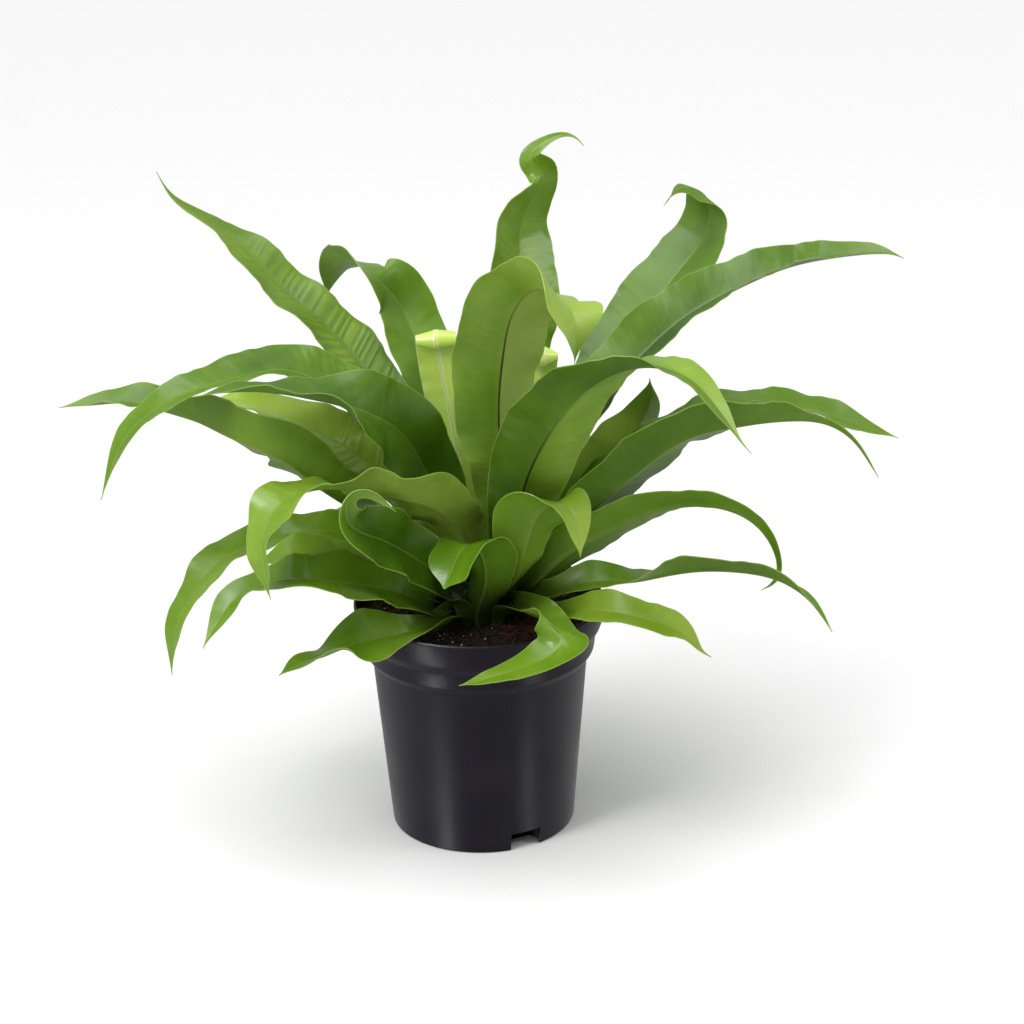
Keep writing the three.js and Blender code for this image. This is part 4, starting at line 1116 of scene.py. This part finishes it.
def cut_drains(piece, depth):
    """Cuts the drainage notches out of the foot of the pot, or of what stands in it."""
    for i in range(NOTCH_COUNT):
        angle = math.radians(NOTCH_FIRST_ANGLE + i * 360 / NOTCH_COUNT)
        x, y = polar(NOTCH_RADIUS, angle)
        deselect()
        bpy.ops.mesh.primitive_cube_add(
            size=1, scale=(depth * MM, NOTCH_WIDTH * MM, 2 * NOTCH_HEIGHT * MM),
            location=(x * MM, y * MM, 0), rotation=(0, 0, angle))
        cutter = named("notch_cutter")
        apply_modifier(piece, "BOOLEAN", operation="DIFFERENCE", solver="EXACT", object=cutter)
        bpy.data.objects.remove(cutter)


class FERN_OT_pot(bpy.types.Operator):
    """Adds the nursery pot with its collar, its rolled lip and its drainage notches"""

    bl_idname = "fern.pot"
    bl_label = "Pot"

    def execute(self, context):
        pot = turned_shell("nursery_pot", POT_OUTSIDE, POT_SIDES)
        cut_drains(pot, NOTCH_DEPTH)
        pot.data.materials.clear()
        pot.data.materials.append(pot_finish(context.scene.fern_pot))
        smooth_shaded(pot, POT_CREASE)
        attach(pot, "root")
        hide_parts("pot")
        return {"FINISHED"}


def bed_height(x, y):
    """The soil's top at a place, in mm."""
    radius = math.hypot(x, y)
    mound = SOIL_MOUND_HEIGHT * max(0, 1 - (radius / SOIL_MOUND_RADIUS) ** 2)
    rough = sum(noise.noise(Vector((x, y, 0)) / length) * size for length, size in BED_BUMPS)
    return SOIL_TOP + mound + rough * min(1, (SOIL_RADIUS - radius) / BED_EDGE + BED_EDGE_BUMPS)


def bed_place(x, y):
    """A place on the soil bed, in mm."""
    return x, y, bed_height(x, y)


def scattered(model, placings):
    """One mesh of many copies of a model's mesh. A placing is a matrix and a tone."""
    corners = np.c_[coordinates(model.data), np.ones(len(model.data.vertices))]
    faces = [list(face.vertices) for face in model.data.polygons]
    points, polygons, tones = [], [], []
    for i, (matrix, tone) in enumerate(placings):
        points.append((corners @ np.array(matrix).T)[:, :3])
        polygons += [[v + i * len(corners) for v in face] for face in faces]
        tones.append(np.full(len(corners), tone))
    bpy.data.objects.remove(model)
    return np.vstack(points), polygons, np.concatenate(tones)


def loose_piece(name, points, polygons, tones, material, angle):
    """A piece of many loose grains."""
    mesh = bpy.data.meshes.new(name)
    mesh.from_pydata(points.tolist(), [], polygons)
    piece = added(name, mesh)
    store(mesh, "grain", (tones, 0.0, 0.0))
    mesh.materials.append(material)
    smooth_shaded(piece, angle)
    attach(piece, "root")


def grain_model(grain):
    """A lump of about unit radius."""
    deselect()
    bpy.ops.mesh.primitive_ico_sphere_add(subdivisions=grain.subdivisions, radius=1)
    model = named("grain_model")
    for vertex in model.data.vertices:
        place = vertex.co * LUMP_SPACING + Vector((grain.lumps, 0, 0))
        vertex.co *= 1 + noise.noise(place) * grain.lump_depth
    return model


def on_bed(random, farthest):
    """A random place on the soil bed, in mm."""
    radius = farthest * math.sqrt(random.random())
    angle = 2 * math.pi * random.random()
    return bed_place(*polar(radius, angle))


def in_patch(random, patch):
    """A random place in the thick patch of a loose piece, in mm."""
    return bed_place(*(random.gauss(*spread) for spread in patch))


def raised(place, height):
    """The place, moved up by the height."""
    x, y, z = place
    return x, y, z + height


def grain_size(random, grain):
    """A grain's size in mm, more often small than large."""
    return grain.least + grain.more * random.random() ** 2


def grain_placing(random, grain, place, size):
    """A grain turned at random, with the greater part of it above the bed."""
    turn = Matrix.Rotation(2 * math.pi * random.random(), 4, "Z")
    tilt = Matrix.Rotation(random.uniform(-GRAIN_TILT, GRAIN_TILT), 4, "X")
    length, width = (size * random.uniform(*span) for span in (GRAIN_LENGTHS, GRAIN_WIDTHS))
    scale = Matrix.Diagonal((length * MM, width * MM, size * grain.flatness * MM, 1))
    move = Matrix.Translation(Vector(raised(place, size * GRAIN_RISE)) * MM)
    return move @ turn @ tilt @ scale, random.random()


def grain_piece(name, grain, placings, material):
    """Joins grains into one loose piece."""
    loose_piece(name, *scattered(grain_model(grain), placings), material, grain.crease)


class FERN_OT_soil(bpy.types.Operator):
    """Adds the soil bed, its crumbs, the white grains, the fibres and the crown's hairs"""

    bl_idname = "fern.soil"
    bl_label = "Soil"

    def execute(self, context):
        settings = context.scene.fern_soil
        add_bed(settings)
        add_crumbs(settings)
        add_perlite(settings)
        add_fibres(settings)
        add_crown_hairs(settings)
        return {"FINISHED"}


def add_bed(settings):
    """The soil as one closed body: a grid wrapped round its axis and down its side."""
    deselect()
    bpy.ops.mesh.primitive_grid_add(
        x_subdivisions=BED_SIDES, y_subdivisions=BED_RINGS, size=2, calc_uvs=False)
    bed = named("soil_bed")
    grid = coordinates(bed.data)
    angles = (grid[:, 0] + 1) * math.pi
    rings = np.rint((grid[:, 1] + 1) / 2 * BED_RINGS).astype(int)
    side = [(0, SOIL_SIDE[-1][1]), *reversed(SOIL_SIDE)]
    top_rings = BED_RINGS - len(side)
    points = []
    for angle, ring in zip(angles, rings):
        if ring < len(side):
            radius, height = side[ring]
            x, y = polar(radius, angle)
        else:
            radius = SOIL_RADIUS * (BED_RINGS - ring) / top_rings
            x, y, height = bed_place(*polar(radius, angle))
        points.append((x * MM, y * MM, height * MM))
    bed.data.vertices.foreach_set("co", np.array(points).ravel())
    mesh = bmesh.new()
    mesh.from_mesh(bed.data)
    bmesh.ops.remove_doubles(mesh, verts=mesh.verts, dist=WELD_DISTANCE)
    bmesh.ops.recalc_face_normals(mesh, faces=mesh.faces)
    mesh.to_mesh(bed.data)
    mesh.free()
    cut_drains(bed, BED_NOTCH_DEPTH)
    bed.data.materials.clear()
    bed.data.materials.append(soil_finish(settings))
    smooth_shaded(bed, BED_CREASE)
    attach(bed, "root")
    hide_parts("soil")


def add_crumbs(settings):
    """Loose crumbs of peat, all over the bed."""
    random = Random(CRUMB.seed)
    material = crumb_finish(
        "peat_crumb", settings.peat_dark, settings.peat, depth=0.0006, roughness=0.9)
    placings = []
    for _ in range(settings.crumbs):
        size = grain_size(random, CRUMB)
        placings.append(grain_placing(random, CRUMB, on_bed(random, CRUMB_REACH), size))
    grain_piece("soil_crumbs", CRUMB, placings, material)


def add_perlite(settings):
    """White grains, the first of them in a patch at the front."""
    random = Random(PERLITE.seed)
    material = crumb_finish(
        "perlite", PERLITE_SHADE, settings.perlite, depth=0.0003, roughness=0.8)
    placings = []
    for i in range(settings.grains):
        in_cluster = i < PERLITE_CLUSTER
        place = in_patch(random, PERLITE_PATCH) if in_cluster else on_bed(random, PERLITE_REACH)
        placings.append(grain_placing(random, PERLITE, place, grain_size(random, PERLITE)))
    grain_piece("perlite_grains", PERLITE, placings, material)


def strand(random, kind, place):
    """A thin curved fibre: the points of a narrow tube and its faces."""
    spans = (kind.lengths, kind.radii, kind.climbs)
    length, radius, climb = (random.uniform(*span) for span in spans)
    x, y, z = place
    heading = 2 * math.pi * random.random()
    bend = random.uniform(-STRAND_BEND, STRAND_BEND)
    sag = random.uniform(*STRAND_SAGS)
    points, faces = [], []
    for i in range(STRAND_STEPS + 1):
        t = i / STRAND_STEPS
        turn = heading + bend * t
        x += math.cos(turn) * length / STRAND_STEPS
        y += math.sin(turn) * length / STRAND_STEPS
        z += (climb - sag * t * STRAND_SAG_SHARE) * length / STRAND_STEPS
        thin = radius * (1 - STRAND_THINNING * t)
        first = len(points)
        for k in range(STRAND_SIDES):
            a = 2 * math.pi * k / STRAND_SIDES
            points.append((
                (x - math.sin(turn) * math.cos(a) * thin) * MM,
                (y + math.cos(turn) * math.cos(a) * thin) * MM,
                (z + math.sin(a) * thin) * MM))
            if i:
                n = (k + 1) % STRAND_SIDES
                before = first - STRAND_SIDES
                faces.append([before + k, before + n, first + n, first + k])
    start = list(reversed(range(STRAND_SIDES)))
    return points, [start, *faces, list(range(first, len(points)))]


def add_fibres(settings):
    """Coir fibres, half of them in a patch at the front right."""
    random = Random(COIR.seed)
    material = crumb_finish(
        "coir_fibre", COIR_SHADE, settings.fibre, depth=0.0001, roughness=0.75)
    strands = []
    for i in range(settings.strands):
        if i < settings.strands // 2:
            place = raised(in_patch(random, FIBRE_PATCH), PATCH_LIFT)
        else:
            place = raised(on_bed(random, FIBRE_REACH), COIR.lift)
        strands.append(strand(random, COIR, place))
    strand_piece("coir_fibres", strands, random, material)


def add_crown_hairs(settings):
    """Fine brown hairs that stand round the feet of the fronds."""
    random = Random(HAIR.seed)
    material = crumb_finish(
        "crown_hair", HAIR_SHADE, settings.hair, depth=0.0001, roughness=0.6)
    hairs = []
    for _ in range(settings.hairs):
        angle = 2 * math.pi * random.random()
        foot = bed_place(*polar(random.uniform(*HAIR_RING), angle))
        hairs.append(strand(random, HAIR, raised(foot, HAIR.lift)))
    strand_piece("crown_hairs", hairs, random, material)


def strand_piece(name, strands, random, material):
    """Joins strands into one loose piece, each with its own tone."""
    points, polygons, tones = [], [], []
    for some, faces in strands:
        polygons += [[v + len(points) for v in face] for face in faces]
        points += some
        tones += [random.random()] * len(some)
    loose_piece(name, np.array(points), polygons, np.array(tones), material, STRAND_CREASE)


def panel_light(name, place, target, size, power):
    """A soft rectangular light that faces a point."""
    data = bpy.data.lights.new(name, "AREA")
    data.shape = "RECTANGLE"
    data.size, data.size_y = size
    data.energy = power
    light = added(name, data)
    light.location = place
    light.rotation_euler = (Vector(target) - Vector(place)).to_track_quat("-Z", "Y").to_euler()
    return light


class FERN_OT_stage(bpy.types.Operator):
    """Adds the floor, the lights and the camera"""

    bl_idname = "fern.stage"
    bl_label = "Studio"

    def execute(self, context):
        settings = context.scene.fern_studio
        deselect()
        bpy.ops.mesh.primitive_circle_add(
            vertices=FLOOR_SIDES, radius=FLOOR_RADIUS, fill_type="NGON",
            location=(0, 0, -FLOOR_DROP))
        floor = named("floor")
        bpy.ops.object.transform_apply(location=True, rotation=False, scale=False)
        floor.data.materials.append(floor_finish(settings))
        floor.visible_glossy = False

        world = bpy.data.worlds.new("white_room")
        context.scene.world = world
        world.use_nodes = True
        background = world.node_tree.nodes["Background"]
        background.inputs["Color"].default_value = (1, 1, 1, 1)
        background.inputs["Strength"].default_value = settings.sky

        sun = bpy.data.lights.new("overhead_light", "SUN")
        sun.energy = settings.overhead
        sun.angle = math.radians(OVERHEAD_SPREAD)
        overhead = added("overhead_light", sun)
        overhead.rotation_euler = Vector(OVERHEAD_PLACE).to_track_quat("Z", "Y").to_euler()
        for side, place in PANELS.items():
            power = getattr(settings, side)
            panel_light(side + "_panel", place, PANEL_TARGET, PANEL_SIZE, power)
        pot_only = bpy.data.collections.new("pot_only")
        pot_only.objects.link(bpy.data.objects["nursery_pot"])
        for name, place, share in STRIPS:
            strip = panel_light(name, place, STRIP_TARGET, STRIP_SIZE, settings.strips * share)
            strip.light_linking.receiver_collection = pot_only
            strip.light_linking.blocker_collection = pot_only
        add_camera(context.scene, settings.lens)
        context.scene.view_settings.view_transform = "Standard"
        return {"FINISHED"}


def add_camera(scene, lens):
    """The camera, from where the photograph was taken."""
    yaw, pitch, roll = (math.radians(angle) for angle in CAMERA_ANGLES)
    forward = Vector((
        math.sin(yaw) * math.cos(pitch), math.cos(yaw) * math.cos(pitch), -math.sin(pitch)))
    level = Vector((math.cos(yaw), -math.sin(yaw), 0))
    above = level.cross(forward)
    right = level * math.cos(roll) - above * math.sin(roll)
    up = above * math.cos(roll) + level * math.sin(roll)
    data = bpy.data.cameras.new("camera")
    data.lens = lens
    data.sensor_width = SENSOR_WIDTH
    data.clip_end = 100
    camera = added("camera", data)
    camera.matrix_world = Matrix.Translation(CAMERA_PLACE) @ Matrix(
        (right, up, -forward)).transposed().to_4x4()
    scene.camera = camera


OPERATORS = (FERN_OT_fronds, FERN_OT_pot, FERN_OT_soil, FERN_OT_stage)
SETTINGS = {
    "fern_leaf": FernLeafSettings,
    "fern_pot": FernPotSettings,
    "fern_soil": FernSoilSettings,
    "fern_studio": FernStudioSettings,
}


class FERN_PT_panel(bpy.types.Panel):
    """Lists the fern's pieces and their settings"""

    bl_idname = "FERN_PT_panel"
    bl_label = "Bird's nest fern"
    bl_space_type = "VIEW_3D"
    bl_region_type = "UI"
    bl_category = "Fern"

    def draw(self, context):
        for operator, group in zip(OPERATORS, SETTINGS):
            box = self.layout.box()
            box.operator(operator.bl_idname)
            settings = getattr(context.scene, group)
            for name in settings.__annotations__:
                box.prop(settings, name)


def register():
    for group in SETTINGS.values():
        bpy.utils.register_class(group)
    for name, group in SETTINGS.items():
        setattr(bpy.types.Scene, name, bpy.props.PointerProperty(type=group))
    for operator in OPERATORS:
        bpy.utils.register_class(operator)
    bpy.utils.register_class(FERN_PT_panel)


def unregister():
    bpy.utils.unregister_class(FERN_PT_panel)
    for operator in reversed(OPERATORS):
        bpy.utils.unregister_class(operator)
    for name, group in SETTINGS.items():
        delattr(bpy.types.Scene, name)
        bpy.utils.unregister_class(group)


def main():
    register()
    bpy.ops.fern.fronds()
    bpy.ops.fern.pot()
    bpy.ops.fern.soil()
    bpy.ops.fern.stage()


if __name__ == "__main__":
    main()
